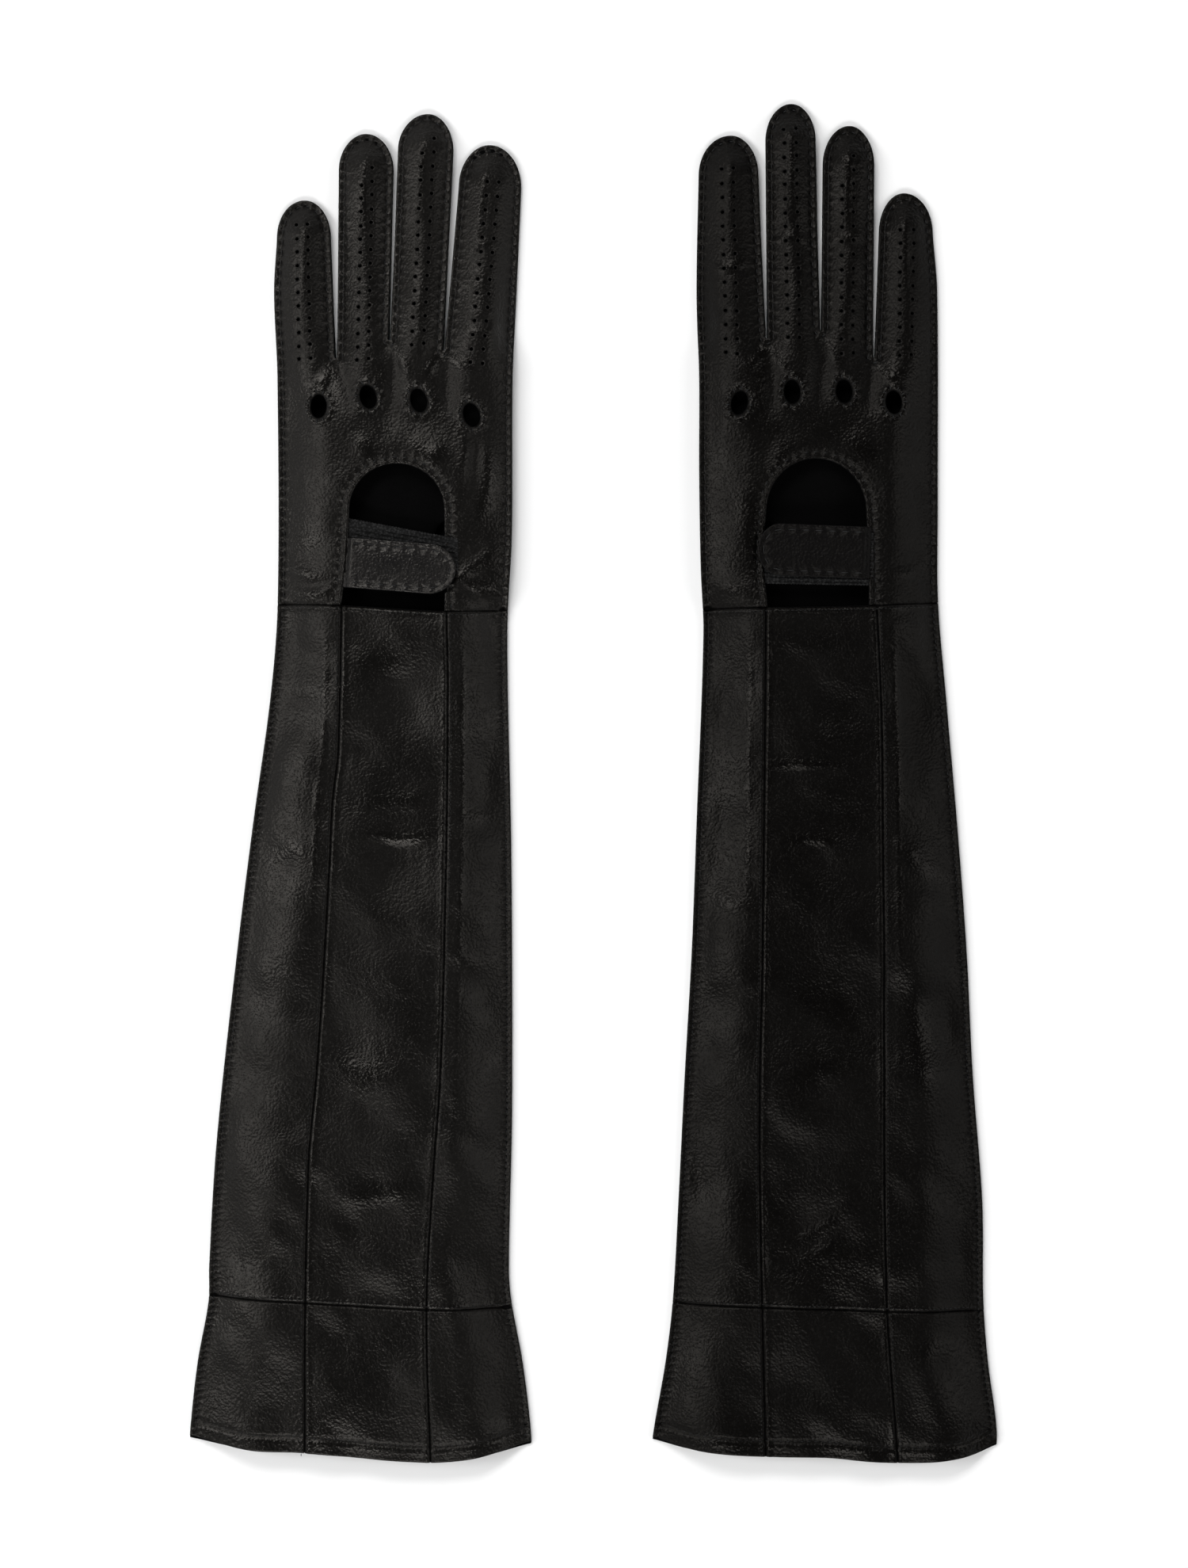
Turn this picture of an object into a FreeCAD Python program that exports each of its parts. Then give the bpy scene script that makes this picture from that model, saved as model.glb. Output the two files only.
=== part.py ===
import FreeCAD, Part
import math
import os
from FreeCAD import Vector

os.makedirs("parts", exist_ok=True)

# A pair of opera-length leather driving gloves lying flat, backs of the hands up.
# Millimetres. x runs across the pair, y towards the fingertips, z up from the table.

# Materials and clearances
LEATHER = 0.8
SEWN_GAP = 0.12
MOVING_GAP = 0.4
THREAD_WIDTH = 0.5
THREAD_HEIGHT = 0.25
THREAD_LIFT = 0.03

# Heights of the underside of the back leather above the table
SLEEVE_PEAK = 9.2
HAND_PEAK = 10.0
FINGER_PEAK = 6.4
FINGER_SIDE = 2.4

# How far from the edge the leather needs to climb from its seam to its peak
EDGE_FLANGE = 1.5
SLEEVE_CLIMB = 24.0
HAND_CLIMB = 20.0
TIP_CLIMB = 15.0
FINGER_ARCH_POWER = 1.15

# Where along the glove one shape takes over from the next
WRIST_LEVEL = 67.0
WRIST_BLEND = (45.0, 72.0)
FINGER_BLEND = (146.0, 168.0)
FINGER_MERGE = 1.3
HAND_SPAN = (60.0, 262.0)
SLEEVE_SPAN = (-262.0, 72.0)
KEYHOLE_BOTTOM = 50.0
HAND_THREAD_BOTTOM = 70.0

# The folded thumb and the room it needs under the palm
THUMB_HEIGHT = 3.5
THUMB_LENGTH = 60.0
THUMB_TIP_LENGTH = 15.0
THUMB_HALF_WIDTH = 10.2
THUMB_BASE_RADIUS = 13.0
THUMB_HOLE_RADIUS = 9.0
THUMB_LEAN = 10.0
THUMB_FLANGE = 0.8
THUMB_CLIMB = 4.0
THUMB_MARGIN = 2.0
PALM_LIFT = THUMB_HEIGHT + MOVING_GAP
LIFT_REACH = (46.0, 66.0)
LIFT_WRIST = (61.0, 77.0)
LIFT_FINGERS = (156.0, 173.0)

# Fingers
CROTCH_RADIUS = 0.5
FOURCHETTE_INSET = 0.8
FOURCHETTE_TOP_MARGIN = 9.0
FOURCHETTE_BOTTOM_MARGIN = 4.0
FOURCHETTE_SIDE_MARGIN = 2.0
OUTSEAM_INSET = 1.9

# Knuckle holes, keyhole and wrist band
KNUCKLE_HALF_WIDTH = 3.2
KNUCKLE_HALF_HEIGHT = 4.6
WHIPSTITCH_START = 0.9
WHIPSTITCH_END = 2.3
BINDING_WIDTH = 2.0
BINDING_RISE = 0.5
KEYHOLE_STITCH_OFFSET = 3.2
ELASTIC_HEIGHT = 20.0
ELASTIC_THICKNESS = 0.8
ELASTIC_TUCK = 5.0

# Strap and its concealed press fastener
STRAP_UNDERSIDE = HAND_PEAK + LEATHER + BINDING_RISE + MOVING_GAP
LINING = 0.6
LINING_INSET = 0.3
STRAP_STITCH_INSET = 2.0
SNAP_DISTANCE = 29.0
SNAP_RADIUS = 4.2
SNAP_HOLE_RADIUS = 2.1
STUD_RADIUS = 1.7
STUD_BASE_HEIGHT = 0.4

# Topstitching
TOPSTITCH_OFFSET = 1.3
HEM_DEPTH = 6.3
HEM_STEP = 0.9

# Density of the surfaces
OVERHANG = 6.0
COLUMN_STEP = 2.6
SLEEVE_ROW_STEP = 9.0
HAND_ROW_STEP = 3.6
TALL = 40.0
WIDE = 400.0

# Each glove is given by the lines that bound its pieces. Side lines are (y, x) points,
# cross lines are (x, y) points, and low and high mean towards smaller and larger x.
LEFT = {
    "name": "left",
    "thumb_side": 1,
    "low_edge": [
        (-258, -153.4), (-243, -152.6), (-219, -149.9), (-196, -145.8), (-183, -145.6), (-135, -142.7),
        (-63, -134.9), (-15, -128.9), (33, -122.3), (69, -119.6), (153, -119.7), (186, -121.0), (206, -119.9),
    ],
    "high_edge": [
        (-258, -23.3), (-243, -24.2), (-219, -27.2), (-196, -31.4), (-183, -32.3), (-123, -31.1),
        (-27, -31.4), (57, -32.9), (93, -31.1), (153, -30.8), (186, -29.4), (225, -27.6),
    ],
    "fingers": [
        {"tip": (-109.6, 220.7), "low": -119.9, "high": -99.8, "rounding": 14.0},
        {"tip": (-86.3, 245.9), "low": -96.3, "high": -76.0, "rounding": 14.0},
        {"tip": (-62.8, 253.4), "low": -73.9, "high": -53.3, "rounding": 14.0},
        {"tip": (-39.5, 241.7), "low": -50.9, "high": -27.6, "rounding": 16.0},
    ],
    "crotches": [(-97.4, 161.0), (-77.1, 167.6), (-56.6, 163.7)],
    "knuckles": [(-103.8, 142.2, 0.0), (-85.1, 145.7, 15.0), (-66.0, 144.4, 15.0), (-46.1, 138.9, 15.0)],
    "keyhole": {"centre": (-74.2, 103.0), "half_width": 18.0, "rise": 17.6, "feet": (-95.3, -56.1)},
    "wrist_seam": [(-120, 67.7), (-95, 67.0), (-56, 64.8), (-32, 65.5)],
    "low_seam": [
        (-256, -109.0), (-198, -108.8), (-142, -107.4), (-105, -104.2),
        (-31, -99.6), (-7, -98.5), (13, -96.3), (67, -95.1),
    ],
    "high_seam": [
        (-256, -61.5), (-198, -63.0), (-147, -60.4), (-111, -57.8), (-45, -55.9), (36, -54.9), (65, -55.4),
    ],
    "cuff_seam": [(-146, -194.0), (-109, -196.1), (-63, -198.8), (-32, -198.6)],
    "hem": [(-152, -248.0), (-130, -252.5), (-109, -253.4), (-64, -257.0), (-45, -255.6), (-24, -250.1)],
    "elastic_top": ((-90.6, 99.6), (-55.7, 93.1)),
    "strap": {"root": (-92.4, 83.1), "direction": -4.5, "length": 40.5, "width": 18.6, "rounding": 10.0},
    "thumb_hinge": (-51.5, 92.0),
}

RIGHT = {
    "name": "right",
    "thumb_side": -1,
    "low_edge": [
        (-258, 21.2), (-243, 23.3), (-219, 27.5), (-196, 30.2), (-159, 32.3), (-111, 34.7),
        (-63, 37.4), (-15, 39.2), (57, 41.8), (81, 40.7), (117, 40.1), (153, 40.1), (186, 39.2), (231, 40.0),
    ],
    "high_edge": [
        (-258, 152.7), (-243, 152.5), (-219, 149.3), (-196, 147.6), (-159, 147.2), (-111, 143.6),
        (-63, 141.2), (-15, 137.6), (33, 133.4), (69, 130.4), (105, 130.3), (186, 130.1), (208, 128.4),
    ],
    "fingers": [
        {"tip": (52.0, 245.3), "low": 40.0, "high": 62.2, "rounding": 15.0},
        {"tip": (75.0, 257.3), "low": 65.3, "high": 83.9, "rounding": 14.0},
        {"tip": (97.0, 248.9), "low": 87.0, "high": 106.1, "rounding": 15.0},
        {"tip": (117.6, 223.4), "low": 108.3, "high": 128.4, "rounding": 15.0},
    ],
    "crotches": [(65.4, 168.2), (85.9, 171.2), (106.1, 161.3)],
    "knuckles": [(55.0, 143.3, -12.0), (74.9, 147.5, 5.0), (94.6, 147.8, 5.0), (113.3, 143.7, 5.0)],
    "keyhole": {"centre": (84.0, 102.5), "half_width": 19.0, "rise": 20.0, "feet": (65.5, 103.9)},
    "wrist_seam": [(41, 65.9), (65, 66.2), (106, 67.0), (131, 68.3)],
    "low_seam": [
        (-256, 65.0), (-198, 63.6), (-147, 62.7), (-111, 62.7),
        (-75, 63.6), (-21, 64.2), (27, 64.7), (66, 64.9),
    ],
    "high_seam": [
        (-256, 114.9), (-198, 110.8), (-147, 109.8), (-75, 109.7), (-12, 109.2), (27, 108.7), (67, 106.8),
    ],
    "cuff_seam": [(31, -197.0), (64, -197.7), (110, -199.4), (147, -199.8)],
    "hem": [
        (23, -248.6), (38, -252.5), (61, -254.6), (88, -255.2), (115, -257.3), (140, -255.6), (153, -250.5),
    ],
    "elastic_top": ((68.0, 95.2), (101.0, 94.6)),
    "strap": {"root": (102.9, 86.7), "direction": 177.8, "length": 41.0, "width": 19.4, "rounding": 8.5},
    "thumb_hinge": (60.8, 92.0),
}


# ---------------------------------------------------------------- curves and easing

def clamp(value):
    return min(1.0, max(0.0, value))


def smooth(start, end, value):
    """0 before start, 1 after end, with a gentle step between."""
    t = clamp((value - start) / (end - start))
    return t * t * (3.0 - 2.0 * t)


def climb(t):
    """Rounded climb from a flat seam (0) to a flat top (1)."""
    return (1.0 - (1.0 - clamp(t)) ** 2) ** 1.5


def slope_at(points, index):
    """Slope of a smooth line at one of its points."""
    before = points[max(index - 1, 0)]
    after = points[min(index + 1, len(points) - 1)]
    return (after[1] - before[1]) / (after[0] - before[0])


def follow(points, s):
    """Value at s of a smooth line through (s, value) points, straight beyond its ends."""
    if s <= points[0][0]:
        return points[0][1] + slope_at(points, 0) * (s - points[0][0])
    if s >= points[-1][0]:
        return points[-1][1]
    index = 0
    while points[index + 1][0] < s:
        index += 1
    s0, v0 = points[index]
    s1, v1 = points[index + 1]
    span = s1 - s0
    t = (s - s0) / span
    m0 = slope_at(points, index) * span
    m1 = slope_at(points, index + 1) * span
    return ((2 * t**3 - 3 * t**2 + 1) * v0 + (t**3 - 2 * t**2 + t) * m0
            + (3 * t**2 - 2 * t**3) * v1 + (t**3 - t**2) * m1)


def line_of(points, shift=0.0):
    """A boundary line as a function, moved across by shift."""
    return lambda s: follow(points, s) + shift


def spread(start, end, count):
    return [start + (end - start) * k / (count - 1) for k in range(count)]


def curve(points):
    """Smooth edge through flat (x, y) points, or a straight one through two."""
    vectors = [Vector(x, y, 0) for x, y in points]
    if len(vectors) == 2:
        return Part.LineSegment(*vectors).toShape()
    spline = Part.BSplineCurve()
    spline.interpolate(vectors)
    return spline.toShape()


def face_from(runs):
    """Flat face bounded by runs of points, each run a smooth edge, joined end to end."""
    edges = []
    for index, run in enumerate(runs):
        edges.append(curve(run))
        next_start = runs[(index + 1) % len(runs)][0]
        if math.dist(run[-1], next_start) > 1e-6:
            edges.append(curve([run[-1], next_start]))
    return Part.Face(Part.Wire(edges))


def upright(face, bottom=-TALL, height=3 * TALL):
    """Prism on a flat face."""
    solid = face.extrude(Vector(0, 0, height))
    solid.translate(Vector(0, 0, bottom))
    return solid


def quarter(centre, reach, start_angle, end_angle, count=7):
    """Points along part of an ellipse about centre."""
    points = []
    for angle in spread(start_angle, end_angle, count):
        turn = math.radians(angle)
        points.append((centre[0] + reach[0] * math.cos(turn), centre[1] + reach[1] * math.sin(turn)))
    return points


# ---------------------------------------------------------------- shape of one glove

class Glove:
    def __init__(self, data):
        self.data = data
        self.low_edge = line_of(data["low_edge"])
        self.high_edge = line_of(data["high_edge"])
        self.wrist_seam = line_of(data["wrist_seam"])
        self.cuff_seam = line_of(data["cuff_seam"])
        self.hem = line_of(data["hem"])

    def side_line(self, number, side, y):
        """Inner side of a finger at y, from its crotch to where its tip starts to round."""
        finger = self.data["fingers"][number]
        crotch = self.data["crotches"][number if side == "high" else number - 1]
        root_x = crotch[0] - CROTCH_RADIUS if side == "high" else crotch[0] + CROTCH_RADIUS
        shoulder_y = finger["tip"][1] - finger["rounding"]
        share = (y - crotch[1]) / (shoulder_y - crotch[1])
        return root_x + (finger[side] - root_x) * share

    def gap_line(self, number, y):
        """Middle of the gap between a finger and the next one."""
        return (self.side_line(number, "high", y) + self.side_line(number + 1, "low", y)) / 2

    def palm_lift(self, x, y):
        """Height of the palm leather's underside, raised over the folded thumb."""
        thumb_edge = self.high_edge(y) if self.data["thumb_side"] > 0 else self.low_edge(y)
        across = 1.0 - smooth(*LIFT_REACH, abs(x - thumb_edge))
        along = smooth(*LIFT_WRIST, y) * (1.0 - smooth(*LIFT_FINGERS, y))
        return PALM_LIFT * across * along

    def seat(self, x, y):
        """Underside of the back leather where it is sewn to the palm leather."""
        return self.palm_lift(x, y) + LEATHER + SEWN_GAP

    def edge_distance(self, x, y):
        return min(x - self.low_edge(y), self.high_edge(y) - x)

    def finger_height(self, number, x, y):
        """Underside of the back leather over one finger."""
        finger = self.data["fingers"][number]
        seat = self.seat(x, y)
        low = self.low_edge(y) if number == 0 else self.gap_line(number - 1, y)
        high = self.high_edge(y) if number == 3 else self.gap_line(number, y)
        low_rise = 0.0 if number == 0 else FINGER_SIDE
        high_rise = 0.0 if number == 3 else FINGER_SIDE
        t = clamp((x - low) / (high - low))
        side = low_rise + (high_rise - low_rise) * t
        peak = FINGER_PEAK - LEATHER - SEWN_GAP - (low_rise + high_rise) / 2
        arch = peak * (4.0 * t * (1.0 - t)) ** FINGER_ARCH_POWER
        drop = climb((finger["tip"][1] - 1.0 - y) / TIP_CLIMB)
        return seat + (side + arch) * drop

    def fingers_height(self, x, y):
        """Underside of the back leather over the fingers, eased from one to the next."""
        height = self.finger_height(0, x, y)
        for number in range(3):
            share = smooth(-FINGER_MERGE, FINGER_MERGE, x - self.gap_line(number, y))
            height += (self.finger_height(number + 1, x, y) - height) * share
        return height

    def back_height(self, x, y):
        """Underside of the back leather anywhere on the glove."""
        seat = self.seat(x, y)
        hand = smooth(*WRIST_BLEND, y)
        peak = SLEEVE_PEAK + (HAND_PEAK - SLEEVE_PEAK) * hand
        reach = SLEEVE_CLIMB + (HAND_CLIMB - SLEEVE_CLIMB) * hand
        height = seat + (peak - seat) * climb((self.edge_distance(x, y) - EDGE_FLANGE) / reach)
        fingers = smooth(*FINGER_BLEND, y)
        if fingers > 0.0:
            height += (self.fingers_height(x, y) - height) * fingers
        return height

    def surface(self, height, span, row_step):
        """Smooth surface over the glove whose columns follow its two edges."""
        width = self.high_edge(0) - self.low_edge(0) + 2 * OVERHANG
        columns = int(width / COLUMN_STEP)
        rows = int((span[1] - span[0]) / row_step) + 1
        grid = []
        for share in spread(0.0, 1.0, columns):
            column = []
            for y in spread(*span, rows):
                start = self.low_edge(y) - OVERHANG
                x = start + (self.high_edge(y) + OVERHANG - start) * share
                column.append(Vector(x, y, height(x, y)))
            grid.append(column)
        patch = Part.BSplineSurface()
        patch.interpolate(grid)
        return patch.toShape()

    def skin(self, height, part_of_glove, thickness):
        """Sheet of even thickness over the hand or the sleeve."""
        if part_of_glove == "hand":
            face = self.surface(height, HAND_SPAN, HAND_ROW_STEP)
        else:
            face = self.surface(height, SLEEVE_SPAN, SLEEVE_ROW_STEP)
        return face.extrude(Vector(0, 0, thickness))

    # ------------------------------------------------------------ outlines

    def hand_face(self, inset=0.0, bottom_shift=0.0):
        """Outline of the hand with its four fingers, drawn in from its edge by inset."""
        fingers = self.data["fingers"]
        crotches = self.data["crotches"]
        low_start = self.wrist_seam(self.low_edge(WRIST_LEVEL)) + bottom_shift
        high_start = self.wrist_seam(self.high_edge(WRIST_LEVEL)) + bottom_shift
        shoulder = fingers[0]["tip"][1] - fingers[0]["rounding"]
        runs = [[(self.low_edge(y) + inset, y) for y in spread(low_start, shoulder, 9)[:-1]]]
        for number, finger in enumerate(fingers):
            tip_x, tip_y = finger["tip"]
            rounding = finger["rounding"]
            middle = (tip_x, tip_y - rounding)
            low_reach = tip_x - finger["low"] - inset
            high_reach = finger["high"] - tip_x - inset
            rise_reach = rounding - inset
            low_part = quarter(middle, (low_reach, rise_reach), 180, 90)
            high_part = quarter(middle, (high_reach, rise_reach), 90, 0)
            runs.append(low_part + high_part[1:])
            if number < 3:
                x, y = crotches[number]
                radius = CROTCH_RADIUS + inset
                runs.append(quarter((x, y), (radius, radius), -180, 0, 5))
        shoulder = fingers[3]["tip"][1] - fingers[3]["rounding"]
        runs.append([(self.high_edge(y) - inset, y) for y in spread(shoulder, high_start, 9)[1:]])
        runs.append([
            (x, self.wrist_seam(x) + bottom_shift)
            for x in spread(runs[-1][-1][0], runs[0][0][0], 5)
        ])
        return face_from(runs)

    def keyhole_face(self, offset=0.0):
        """The keyhole, grown by offset and open at the wrist."""
        keyhole = self.data["keyhole"]
        x, y = keyhole["centre"]
        reach = (keyhole["half_width"] + offset, keyhole["rise"] + offset)
        low_foot, high_foot = keyhole["feet"]
        arch = quarter((x, y), reach, 180, 0, 13)
        return face_from([arch, [(high_foot + offset, KEYHOLE_BOTTOM), (low_foot - offset, KEYHOLE_BOTTOM)]])

    def knuckle_face(self, knuckle, offset=0.0):
        x, y, lean = knuckle
        reach = (KNUCKLE_HALF_WIDTH + offset, KNUCKLE_HALF_HEIGHT + offset)
        ring = Part.Ellipse(Vector(0, reach[1], 0), Vector(reach[0], 0, 0), Vector(0, 0, 0)).toShape()
        face = Part.Face(Part.Wire([ring]))
        face.rotate(Vector(0, 0, 0), Vector(0, 0, 1), lean)
        face.translate(Vector(x, y, 0))
        return face

    def panel_face(self, low_line, high_line, bottom_line, top_line):
        """Panel between two side lines and two cross lines."""
        corners = []
        crossings = [
            (low_line, bottom_line), (high_line, bottom_line), (high_line, top_line), (low_line, top_line),
        ]
        for side, cross in crossings:
            y = 0.0
            for _ in range(12):
                x = side(y)
                y = cross(x)
            corners.append((x, y))
        a, b, c, d = corners
        return face_from([
            [(x, bottom_line(x)) for x in spread(a[0], b[0], 7)],
            [(high_line(y), y) for y in spread(b[1], c[1], 9)],
            [(x, top_line(x)) for x in spread(c[0], d[0], 7)],
            [(low_line(y), y) for y in spread(d[1], a[1], 9)],
        ])


def shifted(line, shift):
    return lambda s: line(s) + shift


def cut_from(skin, face):
    return upright(face).common(skin)


def save(glove, piece, shape):
    name = glove.data["name"] + "_" + piece
    solids = shape.Solids
    if not solids or not shape.isValid():
        raise ValueError("bad shape: " + name)
    result = solids[0] if len(solids) == 1 else Part.makeCompound(solids)
    result.exportStep("parts/" + name + ".step")


# ---------------------------------------------------------------- pieces

def build_hand(glove):
    data = glove.data
    outline = glove.hand_face(bottom_shift=SEWN_GAP)
    back = cut_from(glove.skin(glove.back_height, "hand", LEATHER), outline)
    back = back.cut(upright(glove.keyhole_face(BINDING_WIDTH + SEWN_GAP)))
    for knuckle in data["knuckles"]:
        back = back.cut(upright(glove.knuckle_face(knuckle)))
    save(glove, "hand_back", back)

    palm = cut_from(glove.skin(glove.palm_lift, "hand", LEATHER), outline)
    hinge = Vector(*data["thumb_hinge"], -TALL)
    save(glove, "hand_palm", palm.cut(Part.makeCylinder(THUMB_HOLE_RADIUS, 3 * TALL, hinge)))

    top_of_back = lambda x, y: glove.back_height(x, y) + LEATHER + THREAD_LIFT
    thread_skin = glove.skin(top_of_back, "hand", THREAD_HEIGHT)
    outer = glove.hand_face(OUTSEAM_INSET)
    inner = glove.hand_face(OUTSEAM_INSET + THREAD_WIDTH, -10.0)
    thread = cut_from(thread_skin, outer.cut(inner))
    below_wrist = Part.makeBox(WIDE, WIDE, TALL, Vector(-WIDE / 2, HAND_THREAD_BOTTOM - WIDE, 0))
    save(glove, "outseam_stitching", thread.cut(below_wrist))

    rings = []
    for knuckle in data["knuckles"]:
        ring = glove.knuckle_face(knuckle, WHIPSTITCH_END).cut(glove.knuckle_face(knuckle, WHIPSTITCH_START))
        rings.append(cut_from(thread_skin, ring))
    save(glove, "knuckle_stitching", Part.makeCompound(rings))

    outside = glove.keyhole_face(KEYHOLE_STITCH_OFFSET + THREAD_WIDTH)
    line = cut_from(thread_skin, outside.cut(glove.keyhole_face(KEYHOLE_STITCH_OFFSET)))
    save(glove, "keyhole_stitching", line.cut(below_wrist))

    band = glove.keyhole_face(BINDING_WIDTH).cut(glove.keyhole_face())
    binding = cut_from(glove.skin(glove.back_height, "hand", LEATHER + BINDING_RISE), band)
    binding = binding.common(upright(glove.hand_face(bottom_shift=SEWN_GAP)))
    save(glove, "keyhole_binding", binding)


def build_fourchettes(glove):
    """Upright gussets that follow both sides of each gap between fingers."""
    names = ["pinky", "ring", "middle", "index"]
    if glove.data["thumb_side"] < 0:
        names.reverse()
    ring = glove.hand_face(FOURCHETTE_INSET).cut(glove.hand_face(FOURCHETTE_INSET + LEATHER, -10.0))
    above_palm = lambda x, y: glove.palm_lift(x, y) + LEATHER + SEWN_GAP
    below_back = lambda x, y: glove.back_height(x, y) - SEWN_GAP
    floor = glove.surface(above_palm, HAND_SPAN, HAND_ROW_STEP).extrude(Vector(0, 0, TALL))
    roof = glove.surface(below_back, HAND_SPAN, HAND_ROW_STEP).extrude(Vector(0, 0, -TALL))
    for number in range(3):
        x, y = glove.data["crotches"][number]
        low_finger, high_finger = glove.data["fingers"][number:number + 2]
        low_side = (low_finger["tip"][0] + x) / 2 - FOURCHETTE_SIDE_MARGIN
        high_side = (high_finger["tip"][0] + x) / 2 + FOURCHETTE_SIDE_MARGIN
        bottom = y - FOURCHETTE_BOTTOM_MARGIN
        low_top = low_finger["tip"][1] - FOURCHETTE_TOP_MARGIN
        high_top = high_finger["tip"][1] - FOURCHETTE_TOP_MARGIN
        window = face_from([
            [(low_side, bottom), (high_side, bottom)],
            [(high_side + FOURCHETTE_SIDE_MARGIN, high_top), (x, high_top)],
            [(x, low_top), (low_side - FOURCHETTE_SIDE_MARGIN, low_top)],
        ])
        wall = upright(ring.common(window)).common(floor).common(roof)
        save(glove, "fourchette_" + names[number] + "_" + names[number + 1], wall)


def build_elastic(glove):
    (x0, y0), (x1, y1) = glove.data["elastic_top"]
    slope = (y1 - y0) / (x1 - x0)
    x0 -= ELASTIC_TUCK
    x1 += ELASTIC_TUCK
    y0 -= slope * ELASTIC_TUCK
    y1 += slope * ELASTIC_TUCK
    face = face_from([[(x0, y0), (x1, y1)], [(x1, y1 - ELASTIC_HEIGHT), (x0, y0 - ELASTIC_HEIGHT)]])
    height = lambda x, y: glove.back_height(x, y) - SEWN_GAP - ELASTIC_THICKNESS
    save(glove, "wrist_elastic", cut_from(glove.skin(height, "hand", ELASTIC_THICKNESS), face))


def strap_face(strap, inset=0.0):
    """Strap outline with its root on the y axis and its rounded end towards +x."""
    half = strap["width"] / 2 - inset
    start = strap["length"] - strap["rounding"]
    end = quarter((start, 0.0), (strap["rounding"] - inset, half), -90, 90, 9)
    return face_from([[(inset, -half), end[0]], end, [end[-1], (inset, half)]])


def place_strap(strap, shape):
    shape.rotate(Vector(0, 0, 0), Vector(0, 0, 1), strap["direction"])
    shape.translate(Vector(*strap["root"], 0))
    return shape


def build_strap(glove):
    strap = glove.data["strap"]
    lining = upright(strap_face(strap, LINING_INSET), STRAP_UNDERSIDE, LINING)
    save(glove, "strap_lining", place_strap(strap, lining))
    outer_bottom = STRAP_UNDERSIDE + LINING + SEWN_GAP / 2
    outer = upright(strap_face(strap), outer_bottom, LEATHER)
    save(glove, "strap_outer", place_strap(strap, outer))
    inside_stitches = strap_face(strap, STRAP_STITCH_INSET + THREAD_WIDTH)
    stitch_line = strap_face(strap, STRAP_STITCH_INSET).cut(inside_stitches)
    thread = upright(stitch_line, outer_bottom + LEATHER + THREAD_LIFT, THREAD_HEIGHT)
    save(glove, "strap_stitching", place_strap(strap, thread))

    elastic_top = HAND_PEAK - SEWN_GAP
    centre = Vector(SNAP_DISTANCE, 0, 0)
    base_bottom = elastic_top + SEWN_GAP / 2
    base = Part.makeCylinder(SNAP_RADIUS, STUD_BASE_HEIGHT, centre + Vector(0, 0, base_bottom))
    post_height = STRAP_UNDERSIDE - MOVING_GAP - base_bottom
    post = Part.makeCylinder(STUD_RADIUS, post_height, centre + Vector(0, 0, base_bottom))
    save(glove, "snap_stud", place_strap(strap, base.fuse(post)))
    socket_bottom = base_bottom + STUD_BASE_HEIGHT + MOVING_GAP
    socket_top = STRAP_UNDERSIDE - SEWN_GAP / 2
    socket = Part.makeCylinder(SNAP_RADIUS, socket_top - socket_bottom, centre + Vector(0, 0, socket_bottom))
    hole = Part.makeCylinder(SNAP_HOLE_RADIUS, TALL, centre)
    save(glove, "snap_socket", place_strap(strap, socket.cut(hole)))


def build_thumb(glove):
    """Flat thumb folded under the palm, drawn along +y from its hinge at the origin."""
    shoulder = THUMB_LENGTH - THUMB_TIP_LENGTH
    tip = quarter((0.0, shoulder), (THUMB_HALF_WIDTH, THUMB_TIP_LENGTH), 0, 180, 13)
    base = quarter((0.0, 0.0), (THUMB_BASE_RADIUS, THUMB_BASE_RADIUS), 180, 360, 13)
    outline = face_from([tip, base])

    def half_width(y):
        if y > shoulder:
            share = clamp((y - shoulder) / THUMB_TIP_LENGTH)
            return THUMB_HALF_WIDTH * math.sqrt(1.0 - share**2)
        if y < 0.0:
            return math.sqrt(max(0.0, THUMB_BASE_RADIUS**2 - y**2))
        return THUMB_BASE_RADIUS + (THUMB_HALF_WIDTH - THUMB_BASE_RADIUS) * y / shoulder

    seat = LEATHER + SEWN_GAP
    rise = THUMB_HEIGHT - LEATHER - seat

    def height(x, y):
        inside = min(half_width(y) - abs(x), THUMB_LENGTH - y, y + THUMB_BASE_RADIUS)
        return seat + rise * climb((inside - THUMB_FLANGE) / THUMB_CLIMB)

    grid = []
    reach = THUMB_BASE_RADIUS + THUMB_MARGIN
    for x in spread(-reach, reach, 21):
        grid.append([Vector(x, y, height(x, y)) for y in spread(-reach, THUMB_LENGTH + THUMB_MARGIN, 41)])
    patch = Part.BSplineSurface()
    patch.interpolate(grid)
    upper = cut_from(patch.toShape().extrude(Vector(0, 0, LEATHER)), outline)
    upper = upper.cut(Part.makeCylinder(THUMB_HOLE_RADIUS, TALL))
    lower = upright(outline, 0.0, LEATHER)
    for piece, shape in (("thumb_upper", upper), ("thumb_lower", lower)):
        shape.rotate(Vector(0, 0, 0), Vector(0, 0, 1), THUMB_LEAN * glove.data["thumb_side"])
        shape.translate(Vector(*glove.data["thumb_hinge"], 0))
        save(glove, piece, shape)


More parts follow.
